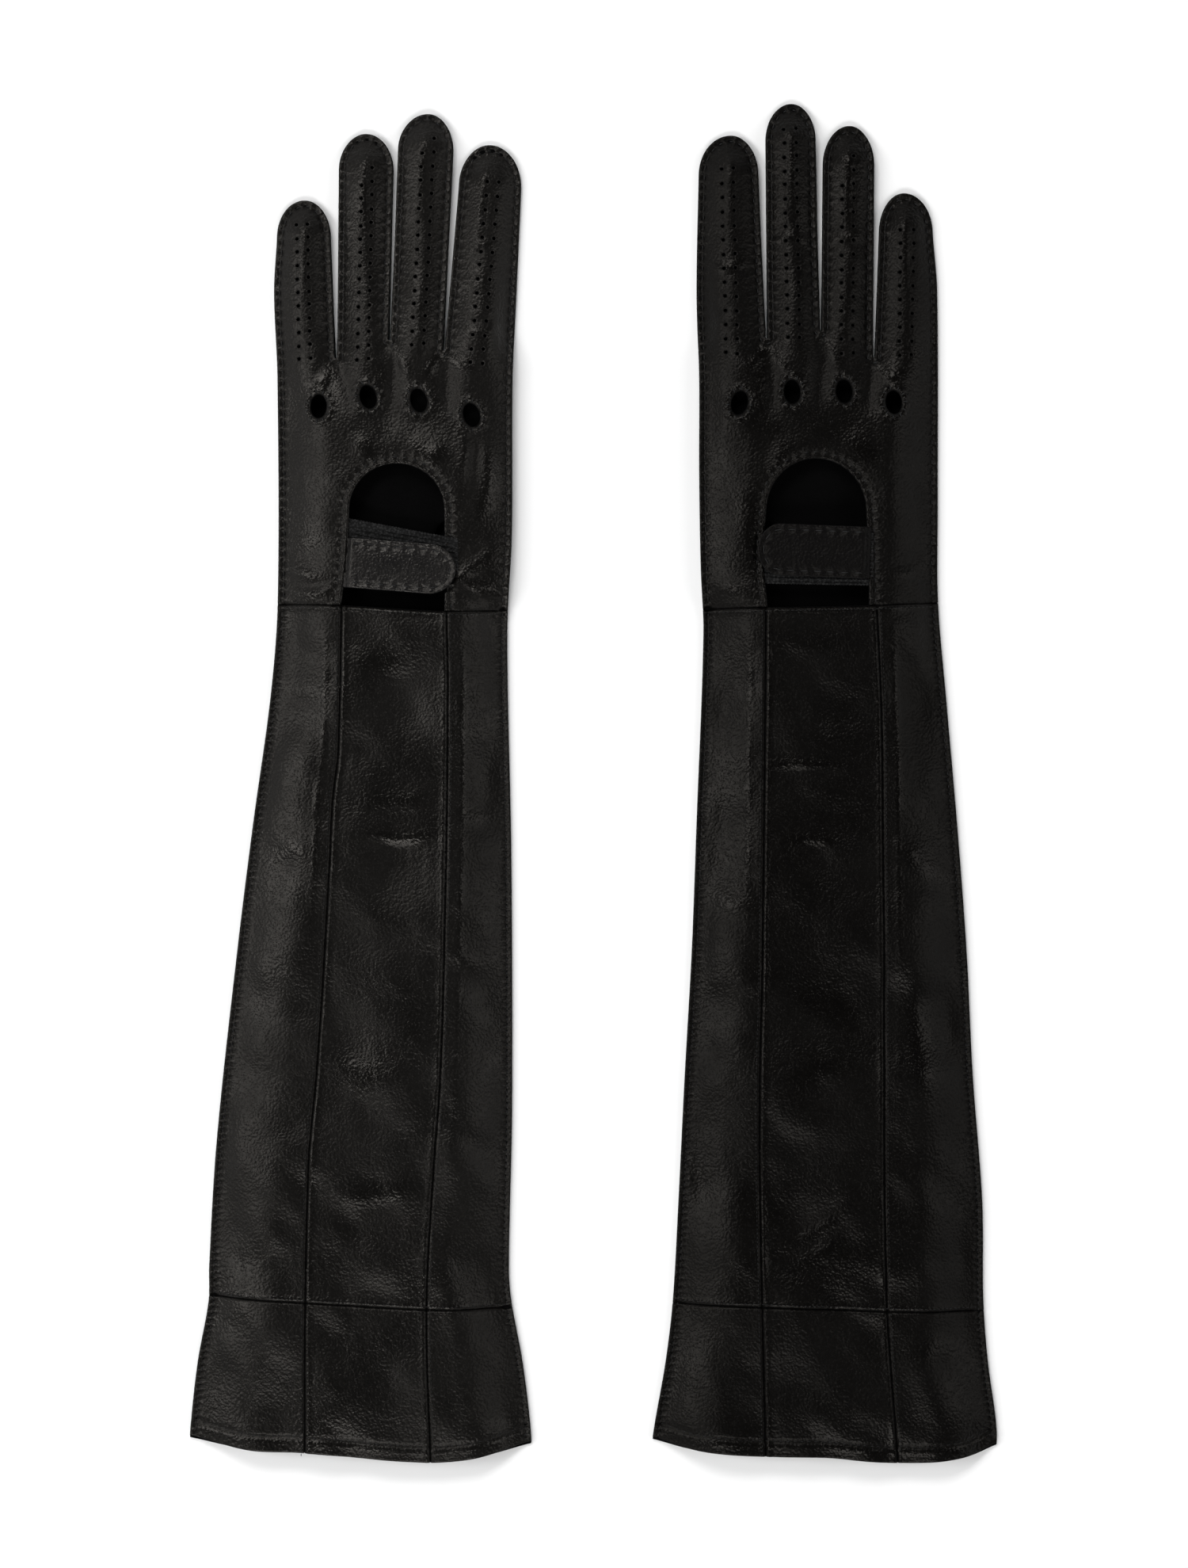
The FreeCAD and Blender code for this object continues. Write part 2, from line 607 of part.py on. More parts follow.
def build_sleeve(glove):
    data = glove.data
    low_side, high_side = ("pinky", "thumb") if data["thumb_side"] > 0 else ("thumb", "pinky")
    low_seam = line_of(data["low_seam"])
    high_seam = line_of(data["high_seam"])
    half_gap = SEWN_GAP / 2
    columns = [
        (low_side, glove.low_edge, shifted(low_seam, -half_gap)),
        ("centre", shifted(low_seam, half_gap), shifted(high_seam, -half_gap)),
        (high_side, shifted(high_seam, half_gap), glove.high_edge),
    ]
    back = glove.skin(glove.back_height, "sleeve", LEATHER)
    wrist_top = shifted(glove.wrist_seam, -SEWN_GAP)
    cuff_below = shifted(glove.cuff_seam, -half_gap)
    cuff_above = shifted(glove.cuff_seam, half_gap)
    back_hem = shifted(glove.hem, HEM_STEP)
    for side, low_line, high_line in columns:
        face = glove.panel_face(low_line, high_line, cuff_above, wrist_top)
        save(glove, "sleeve_back_" + side, cut_from(back, face))
        face = glove.panel_face(low_line, high_line, back_hem, cuff_below)
        save(glove, "cuff_back_" + side, cut_from(back, face))

    palm = glove.skin(glove.palm_lift, "sleeve", LEATHER)
    face = glove.panel_face(glove.low_edge, glove.high_edge, cuff_above, wrist_top)
    save(glove, "sleeve_palm", cut_from(palm, face))
    face = glove.panel_face(glove.low_edge, glove.high_edge, glove.hem, cuff_below)
    save(glove, "cuff_palm", upright(face, 0.0, LEATHER))

    top_of_back = lambda x, y: glove.back_height(x, y) + LEATHER + THREAD_LIFT
    thread_skin = glove.skin(top_of_back, "sleeve", THREAD_HEIGHT)
    low_stitch = shifted(glove.low_edge, OUTSEAM_INSET)
    high_stitch = shifted(glove.high_edge, -OUTSEAM_INSET)
    wrist_stitch = shifted(glove.wrist_seam, -TOPSTITCH_OFFSET)
    cuff_stitch = shifted(glove.cuff_seam, TOPSTITCH_OFFSET)
    hem_stitch = shifted(glove.hem, HEM_DEPTH)
    outline = glove.panel_face(low_stitch, high_stitch, hem_stitch, wrist_stitch)
    inner = glove.panel_face(
        shifted(low_stitch, THREAD_WIDTH), shifted(high_stitch, -THREAD_WIDTH),
        shifted(hem_stitch, THREAD_WIDTH), shifted(wrist_stitch, -THREAD_WIDTH),
    )
    strips = [outline.cut(inner)]
    for seam in (shifted(low_seam, -TOPSTITCH_OFFSET), shifted(high_seam, TOPSTITCH_OFFSET)):
        strips.append(glove.panel_face(seam, shifted(seam, THREAD_WIDTH), hem_stitch, wrist_stitch))
    strips.append(glove.panel_face(low_stitch, high_stitch, cuff_stitch, shifted(cuff_stitch, THREAD_WIDTH)))
    pattern = strips[0].multiFuse(strips[1:]).removeSplitter()
    save(glove, "sleeve_stitching", cut_from(thread_skin, pattern))


for glove_data in (LEFT, RIGHT):
    glove = Glove(glove_data)
    build_hand(glove)
    build_fourchettes(glove)
    build_elastic(glove)
    build_strap(glove)
    build_thumb(glove)
    build_sleeve(glove)
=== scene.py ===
import math

import bpy
import numpy as np
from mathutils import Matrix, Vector
from mathutils.geometry import delaunay_2d_cdt
from mathutils.kdtree import KDTree


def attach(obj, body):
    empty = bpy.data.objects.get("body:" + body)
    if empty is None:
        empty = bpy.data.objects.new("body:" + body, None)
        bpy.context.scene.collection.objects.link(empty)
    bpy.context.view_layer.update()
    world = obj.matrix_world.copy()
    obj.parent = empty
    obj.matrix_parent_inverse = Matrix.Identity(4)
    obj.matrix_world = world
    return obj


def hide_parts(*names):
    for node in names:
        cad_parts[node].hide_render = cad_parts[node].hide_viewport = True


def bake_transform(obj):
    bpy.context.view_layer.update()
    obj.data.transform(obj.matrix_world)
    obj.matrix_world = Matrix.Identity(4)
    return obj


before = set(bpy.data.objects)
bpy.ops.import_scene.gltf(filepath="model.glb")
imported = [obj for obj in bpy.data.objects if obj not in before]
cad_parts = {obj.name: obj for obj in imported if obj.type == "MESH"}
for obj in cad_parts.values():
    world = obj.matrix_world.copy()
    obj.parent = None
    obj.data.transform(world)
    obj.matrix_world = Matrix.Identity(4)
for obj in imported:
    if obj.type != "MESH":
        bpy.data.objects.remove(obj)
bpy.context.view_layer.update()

# A pair of opera-length leather driving gloves. Shapes are worked out in millimetres,
# in the frame of the CAD model, and written to the meshes in metres.

PER_METRE = 1000.0
LEATHER = 0.8
SEWN_GAP = 0.12
RIM_BULGE = 0.16

# Heights of the underside of the back leather above the table
SLEEVE_PEAK = 9.2
HAND_PEAK = 10.0
FINGER_PEAK = 6.4
FINGER_SIDE = 2.4
EDGE_FLANGE = 1.5
SLEEVE_CLIMB = 24.0
HAND_CLIMB = 20.0
HAND_BLEND = (45.0, 72.0)
FINGER_BLEND = (134.0, 173.0)
GAP_BLEND = (-0.8, 0.8)

# The folded thumb and the palm leather raised over it
THUMB_HEIGHT = 3.5
THUMB_LENGTH = 60.0
THUMB_TIP_LENGTH = 15.0
THUMB_HALF_WIDTH = 10.2
THUMB_BASE_RADIUS = 13.0
THUMB_HOLE_RADIUS = 9.0
THUMB_HOLE_CORNERS = 72
THUMB_LEAN = 10.0
PALM_LIFT = THUMB_HEIGHT + 0.4
LIFT_REACH = (46.0, 66.0)
LIFT_WRIST = (61.0, 77.0)
LIFT_FINGERS = (156.0, 173.0)
BACK_EASE_END = 212.0
THUMB_DRAPE = (2.0, 9.0)

# Fingers and holes
CROTCH_RADIUS = 0.5
FINGER_EDGE = 1.6
PERFORATION_RADIUS = 0.74
PERFORATION_CORNERS = 10
PERFORATION_RIM = 1.15
KNUCKLE_HALF_WIDTH = 3.2
KNUCKLE_HALF_HEIGHT = 4.6
KNUCKLE_STITCHES = 11

# Stitches
OUTSEAM_INSET = 2.0
OUTSEAM_PITCH = 3.8
SIDE_INSET = 1.8
SIDE_PITCH = 2.5
TOPSTITCH_PITCH = 1.6
TOPSTITCH_OFFSET = 1.3
STRAP_STITCH_INSET = 2.0
STRAP_STITCH_PITCH = 4.8
HEM_PITCH = 2.6
HEM_DEPTH = 6.8
HEM_STEP = 0.9
SLEEVE_FLARE = 34.0
CREASE_DEPTH = 1.3
TRACK_STEP = 0.3
STITCH_GIRTHS = (0.45, 0.85, 1.0, 1.05, 1.0, 0.85, 0.45)
STITCH_REACH = 4.0
SEAM_REACH = 12.0

# Wrist
WRIST_LEVEL = 67.0
SIDE_SEAM = (-248.0, 66.0)
ROLL_WIDTH = 1.5
ROLL_HALF_HEIGHT = 0.62
KEYHOLE_SHOULDER = 18.0
KEYHOLE_STITCH_OFFSET = 2.4
ELASTIC_HEIGHT = 20.0
ELASTIC_THICKNESS = 0.8
ELASTIC_TUCK = 4.6
STRAP_UNDERSIDE = 11.7
STRAP_THICKNESS = 1.45
STRAP_TAIL = 1.4

# Mesh density
EDGE_STEP = 0.62
ROW_STEP = EDGE_STEP * 1.3
FILL_STEP = 1.25

LEFT = {
    "name": "left",
    "thumb_side": 1,
    "low_edge": [
        (-258, -153.4), (-243, -152.6), (-219, -149.9), (-196, -145.8), (-183, -145.6), (-135, -142.7),
        (-63, -134.9), (-15, -128.9), (33, -122.3), (69, -119.6), (153, -119.7), (186, -121.0), (206, -119.9),
    ],
    "high_edge": [
        (-258, -23.3), (-243, -24.2), (-219, -27.2), (-196, -31.4), (-183, -32.3), (-123, -31.1),
        (-27, -31.4), (57, -32.9), (93, -31.1), (153, -30.8), (186, -29.4), (225, -27.6),
    ],
    "fingers": [
        {"tip": (-109.6, 220.7), "low": -119.9, "high": -99.8, "rounding": 14.0},
        {"tip": (-86.3, 245.9), "low": -96.3, "high": -76.0, "rounding": 14.0},
        {"tip": (-62.8, 253.4), "low": -73.9, "high": -53.3, "rounding": 14.0},
        {"tip": (-39.5, 241.7), "low": -50.9, "high": -27.6, "rounding": 16.0},
    ],
    "crotches": [(-97.4, 161.0), (-77.1, 167.6), (-56.6, 163.7)],
    "knuckles": [(-103.8, 142.2, 0.0), (-85.1, 145.7, 15.0), (-66.0, 144.4, 15.0), (-46.1, 138.9, 15.0)],
    "keyhole": {"centre": (-74.2, 103.0), "half_width": 18.0, "rise": 17.6, "feet": (-95.3, -56.1)},
    "wrist_seam": [(-120, 67.7), (-95, 67.0), (-56, 64.8), (-32, 65.5)],
    "low_seam": [
        (-256, -109.0), (-198, -108.8), (-142, -107.4), (-105, -104.2), (-31, -99.6), (-7, -98.5),
        (13, -96.3), (67, -95.1),
    ],
    "high_seam": [
        (-256, -61.5), (-198, -63.0), (-147, -60.4), (-111, -57.8), (-45, -55.9), (36, -54.9), (65, -55.4),
    ],
    "cuff_seam": [(-146, -194.0), (-109, -196.1), (-63, -198.8), (-32, -198.6)],
    "hem": [(-152, -248.0), (-130, -252.5), (-109, -253.4), (-64, -257.0), (-45, -255.6), (-24, -250.1)],
    "elastic_top": ((-90.6, 99.6), (-55.7, 93.1)),
    "strap": {"root": (-92.4, 83.1), "direction": -4.5, "length": 40.5, "width": 18.6, "rounding": 10.0},
    "thumb_hinge": (-51.5, 92.0),
    # columns of perforations: top hole, bottom hole, number of holes
    "perforations": [
        ((-112.3, 211.0), (-111.2, 160.0), 11), ((-108.2, 211.3), (-106.9, 160.6), 11),
        ((-87.5, 226.0), (-89.3, 159.6), 14), ((-83.7, 232.6), (-84.9, 160.1), 15),
        ((-64.8, 238.0), (-68.6, 165.3), 15), ((-60.2, 243.6), (-64.1, 165.8), 16),
        ((-40.1, 227.4), (-46.5, 158.7), 14), ((-35.9, 227.0), (-41.9, 158.4), 14),
    ],
    # creases: points of a line, height, width
    "creases": [
        ([(-90, -17), (-74.5, -21.5), (-58, -19)], 0.5, 2.4),
        ([(-93, -6.5), (-76, -7.5), (-58, -5)], 0.3, 3.2),
        ([(-100, -154), (-82, -156), (-64, -152)], 0.45, 4.5),
        ([(-52, 78), (-43, 73), (-34, 71)], 0.7, 2.2),
        ([(-53, 84), (-46, 86), (-38, 92)], -0.5, 2.4),
        ([(-53, 76), (-47, 72), (-43, 69)], -0.5, 1.8),
        ([(-118, 82), (-108, 78), (-99, 77)], 0.45, 2.4),
        ([(-97.4, 160), (-93, 150), (-92, 138)], -0.6, 2.8),
        ([(-77.1, 166), (-76, 153), (-78, 136)], -0.6, 3.0),
        ([(-56.6, 162), (-56, 150), (-53, 136)], -0.7, 3.2),
        ([(-70, 132), (-66, 126), (-58, 122)], 0.5, 4.0),
        ([(-90, 132), (-86, 124), (-84, 121)], 0.5, 3.0),
        ([(-47, 137), (-45, 126), (-48, 110)], -0.9, 2.6),
        ([(-42, 131), (-40, 116), (-44, 96)], 0.8, 3.2),
        ([(-56, 128), (-60, 124), (-66, 122)], 0.4, 3.0),
        ([(-57, 166), (-61, 158), (-66, 153)], 0.5, 2.2),
        ([(-57, 163), (-51, 158), (-44, 154)], 0.5, 2.4),
        ([(-77, 167), (-72, 158), (-70, 151)], 0.45, 2.0),
        ([(-98, 160), (-102, 153), (-108, 150)], 0.4, 2.2),
        ([(-50, 176), (-43, 173), (-34, 175)], -0.35, 2.2),
        ([(-48, 200), (-42, 203), (-34, 201)], 0.3, 1.6),
        ([(-119, 92), (-110, 90), (-100, 93)], 0.25, 2.6),
        ([(-55, 74), (-46, 80), (-37, 84)], 0.55, 1.8),
        ([(-96, 75), (-106, 72), (-116, 73)], 0.5, 1.8),
        ([(-92, 50), (-78, 44), (-62, 47)], 0.22, 5.0),
        ([(-94, -40), (-80, -52), (-64, -50)], 0.3, 6.0),
        ([(-104, -100), (-88, -112), (-70, -106)], 0.3, 7.0),
        ([(-120, 40), (-112, 34), (-100, 33)], 0.25, 3.0),
        ([(-126, -32), (-116, -26), (-104, -27)], 0.35, 4.0),
        ([(-54, -8), (-45, -14), (-34, -12)], 0.3, 3.0),
        ([(-54, -62), (-44, -70), (-33, -66)], 0.3, 4.0),
    ],
}

RIGHT = {
    "name": "right",
    "thumb_side": -1,
    "low_edge": [
        (-258, 21.2), (-243, 23.3), (-219, 27.5), (-196, 30.2), (-159, 32.3), (-111, 34.7),
        (-63, 37.4), (-15, 39.2), (57, 41.8), (81, 40.7), (117, 40.1), (153, 40.1), (186, 39.2), (231, 40.0),
    ],
    "high_edge": [
        (-258, 152.7), (-243, 152.5), (-219, 149.3), (-196, 147.6), (-159, 147.2), (-111, 143.6),
        (-63, 141.2), (-15, 137.6), (33, 133.4), (69, 130.4), (105, 130.3), (186, 130.1), (208, 128.4),
    ],
    "fingers": [
        {"tip": (52.0, 245.3), "low": 40.0, "high": 62.2, "rounding": 15.0},
        {"tip": (75.0, 257.3), "low": 65.3, "high": 83.9, "rounding": 14.0},
        {"tip": (97.0, 248.9), "low": 87.0, "high": 106.1, "rounding": 15.0},
        {"tip": (117.6, 223.4), "low": 108.3, "high": 128.4, "rounding": 15.0},
    ],
    "crotches": [(65.4, 168.2), (85.9, 171.2), (106.1, 161.3)],
    "knuckles": [(55.0, 143.3, -12.0), (74.9, 147.5, 5.0), (94.6, 147.8, 5.0), (113.3, 143.7, 5.0)],
    "keyhole": {"centre": (84.0, 102.5), "half_width": 19.0, "rise": 20.0, "feet": (65.5, 103.9)},
    "wrist_seam": [(41, 65.9), (65, 66.2), (106, 67.0), (131, 68.3)],
    "low_seam": [
        (-256, 65.0), (-198, 63.6), (-147, 62.7), (-111, 62.7), (-75, 63.6), (-21, 64.2), (27, 64.7),
        (66, 64.9),
    ],
    "high_seam": [
        (-256, 114.9), (-198, 110.8), (-147, 109.8), (-75, 109.7), (-12, 109.2), (27, 108.7), (67, 106.8),
    ],
    "cuff_seam": [(31, -197.0), (64, -197.7), (110, -199.4), (147, -199.8)],
    "hem": [
        (23, -248.6), (38, -252.5), (61, -254.6), (88, -255.2), (115, -257.3),
        (140, -255.6), (153, -250.5),
    ],
    "elastic_top": ((68.0, 95.2), (101.0, 94.6)),
    "strap": {"root": (102.9, 86.7), "direction": 177.8, "length": 41.0, "width": 19.4, "rounding": 8.5},
    "thumb_hinge": (60.8, 92.0),
    "perforations": [
        ((48.4, 232.0), (50.1, 162.3), 14), ((52.7, 232.4), (54.3, 162.0), 14),
        ((72.0, 247.0), (73.3, 168.3), 16), ((76.5, 247.5), (77.7, 168.0), 16),
        ((94.1, 226.0), (93.5, 162.2), 13), ((98.4, 237.2), (98.0, 162.4), 15),
        ((116.0, 209.0), (115.6, 161.8), 10), ((121.1, 209.3), (120.2, 161.9), 10),
    ],
    "creases": [
        ([(59, 5.5), (78, 7.0), (100, 5.5)], 0.45, 2.0),
        ([(72, -22.5), (82, -21.5), (93, -23)], 0.4, 2.2),
        ([(118, 60), (119, 20), (120, -20)], -0.4, 4.0),
        ([(99, -157), (88, -166), (72, -176)], 0.35, 3.0),
        ([(99, -166), (86, -176), (70, -184)], 0.3, 3.0),
        ([(65.4, 166), (67, 152), (66, 136)], -0.6, 3.0),
        ([(85.9, 169), (85, 156), (84, 138)], -0.6, 3.0),
        ([(106.1, 160), (104, 150), (103, 138)], -0.6, 3.0),
        ([(72, 133), (70, 124), (66, 112)], 0.45, 4.0),
        ([(96, 134), (100, 126), (108, 120)], 0.4, 4.0),
        ([(56, 116), (58, 100), (60, 84)], 0.4, 5.0),
        ([(45, 76), (52, 73), (60, 72)], 0.3, 2.4),
        ([(128, 84), (118, 80), (108, 80)], 0.3, 2.4),
        ([(115, -60), (122, -96), (128, -130)], 0.5, 6.0),
        ([(42, -40), (50, -46), (60, -44)], 0.3, 3.4),
        ([(118, -222), (130, -214), (142, -218)], 0.4, 5.0),
        ([(66, 167), (61, 160), (55, 156)], 0.5, 2.2),
        ([(66, 166), (70, 158), (74, 154)], 0.5, 2.2),
        ([(86, 170), (91, 160), (95, 155)], 0.45, 2.2),
        ([(106, 160), (111, 154), (118, 152)], 0.5, 2.2),
        ([(42, 196), (50, 194), (61, 198)], 0.35, 1.8),
        ([(66, 204), (75, 206), (84, 203)], 0.4, 1.6),
        ([(88, 207), (96, 205), (105, 208)], 0.4, 1.6),
        ([(42, 176), (50, 179), (60, 176)], -0.3, 2.2),
        ([(64, 58), (84, 52), (104, 56)], 0.25, 5.0),
        ([(68, -70), (84, -84), (104, -92)], 0.4, 7.0),
        ([(70, -120), (88, -108), (104, -112)], 0.35, 6.0),
        ([(114, -20), (126, -34), (138, -40)], 0.4, 4.0),
    ],
}


# ---------------------------------------------------------------- curves and easing

def clamp(value):
    """Value kept between 0 and 1."""
    return np.clip(value, 0.0, 1.0)


def smooth(start, end, value):
    """Soft step from 0 at start to 1 at end."""
    t = clamp((value - start) / (end - start))
    return t * t * (3.0 - 2.0 * t)


def climb(t):
    """Steep rise that rounds off to 1."""
    return (1.0 - (1.0 - clamp(t)) ** 2) ** 1.5


def follow(points, s):
    """Values at s of a smooth line through (s, value) points, straight beyond its start."""
    knots = np.array(points, float)
    where, value = knots[:, 0], knots[:, 1]
    slopes = np.empty(len(knots))
    slopes[1:-1] = (value[2:] - value[:-2]) / (where[2:] - where[:-2])
    slopes[0] = (value[1] - value[0]) / (where[1] - where[0])
    slopes[-1] = (value[-1] - value[-2]) / (where[-1] - where[-2])
    s = np.asarray(s, float)
    index = np.clip(np.searchsorted(where, s, side="left") - 1, 0, len(knots) - 2)
    span = where[index + 1] - where[index]
    t = clamp((s - where[index]) / span)
    result = ((2 * t**3 - 3 * t**2 + 1) * value[index] + (t**3 - 2 * t**2 + t) * slopes[index] * span
              + (3 * t**2 - 2 * t**3) * value[index + 1] + (t**3 - t**2) * slopes[index + 1] * span)
    return result + np.minimum(s - where[0], 0.0) * slopes[0]


def line_of(points):
    return lambda s: follow(points, s)


def shifted(line, shift):
    return lambda s: line(s) + shift


def quarter(centre, reach, start_angle, end_angle, count=24):
    """Points of an elliptical arc, between two angles in degrees."""
    angles = np.radians(np.linspace(start_angle, end_angle, count))
    return np.column_stack([centre[0] + reach[0] * np.cos(angles), centre[1] + reach[1] * np.sin(angles)])


def ring_of(centre, radius, corners):
    """Closed outline of a round hole."""
    return quarter(centre, (radius, radius), 0, 360, corners + 1)[:-1]


def unit(vectors):
    return vectors / np.maximum(np.linalg.norm(vectors, axis=1), 1e-9)[:, None]


def turned(centre, degrees, x, y):
    """Points turned about the origin and moved to a centre."""
    turn = math.radians(degrees)
    return (centre[0] + x * math.cos(turn) - y * math.sin(turn),
            centre[1] + x * math.sin(turn) + y * math.cos(turn))


def left_of(path):
    """Directions to the left of a path at each of its points."""
    ahead = unit(np.gradient(path, axis=0))
    return np.column_stack([-ahead[:, 1], ahead[:, 0]])


def tree_of(points):
    tree = KDTree(len(points))
    for index, (x, y) in enumerate(points):
        tree.insert((x, y, 0.0), index)
    tree.balance()
    return tree


def arc_length(path):
    return np.concatenate([[0.0], np.cumsum(np.linalg.norm(np.diff(path, axis=0), axis=1))])


def resample(path, step, closed=False):
    """Points spread evenly along a path of (x, y) points."""
    path = np.asarray(path, float)
    if closed:
        path = np.vstack([path, path[:1]])
    length = arc_length(path)
    count = max(2, int(round(length[-1] / step)) + 1)
    at = np.linspace(0.0, length[-1], count)
    spread = np.column_stack([np.interp(at, length, path[:, 0]), np.interp(at, length, path[:, 1])])
    return spread[:-1] if closed else spread


def spline(points, step=1.0):
    """Smooth path through a few (x, y) points."""
    points = np.array(points, float)
    if len(points) == 2:
        return resample(points, step)
    at = arc_length(points)
    fine = np.linspace(0.0, at[-1], max(8, int(at[-1] / step)))
    x = follow(list(zip(at, points[:, 0])), fine)
    y = follow(list(zip(at, points[:, 1])), fine)
    return np.column_stack([x, y])


LATTICE_SIZE = 256
LATTICE = np.random.default_rng(20).random((LATTICE_SIZE, LATTICE_SIZE)) * 2.0 - 1.0


def noise(x, y, seed=0):
    """Smooth noise between -1 and 1, with features about one unit across."""
    x = np.asarray(x, float) + 37.0 * seed
    y = np.asarray(y, float) + 91.0 * seed
    column = np.floor(x).astype(int)
    row = np.floor(y).astype(int)
    u = x - column
    v = y - row
    u = u**3 * (u * (u * 6 - 15) + 10)
    v = v**3 * (v * (v * 6 - 15) + 10)

    def level(row):
        row = row % LATTICE_SIZE
        return LATTICE[column % LATTICE_SIZE, row] * (1 - u) + LATTICE[(column + 1) % LATTICE_SIZE, row] * u

    return level(row) * (1 - v) + level(row + 1) * v


class Track:
    """A stitched or creased line on a surface, which finds how near points are to it."""

    def __init__(self, path, closed=False):
        self.path = resample(path, TRACK_STEP, closed)
        self.length = arc_length(self.path)
        self.total = self.length[-1]
        self.tree = tree_of(self.path)
        ahead = np.roll(self.path, -1, axis=0) - np.roll(self.path, 1, axis=0)
        if not closed:
            ahead[0] = self.path[1] - self.path[0]
            ahead[-1] = self.path[-1] - self.path[-2]
        self.ahead = unit(ahead)

    def near(self, x, y, reach):
        """Which points are near, how far to the left of the line they are, and how far along it."""
        low, high = self.path.min(axis=0) - reach, self.path.max(axis=0) + reach
        picked = np.nonzero((x > low[0]) & (x < high[0]) & (y > low[1]) & (y < high[1]))[0]
        if not len(picked):
            return picked, np.zeros(0), np.zeros(0)
        found = np.array([self.tree.find((x[i], y[i], 0.0))[1] for i in picked], int)
        offset = np.column_stack([x[picked], y[picked]]) - self.path[found]
        ahead = self.ahead[found]
        side = ahead[:, 0] * offset[:, 1] - ahead[:, 1] * offset[:, 0]
        distance = np.linalg.norm(offset, axis=1) * np.sign(side)
        past = (offset * ahead).sum(axis=1)
        close = (np.abs(distance) < reach) & (np.abs(past) < 1.0)
        return picked[close], distance[close], (self.length[found] + past)[close]


# ---------------------------------------------------------------- shape of one glove

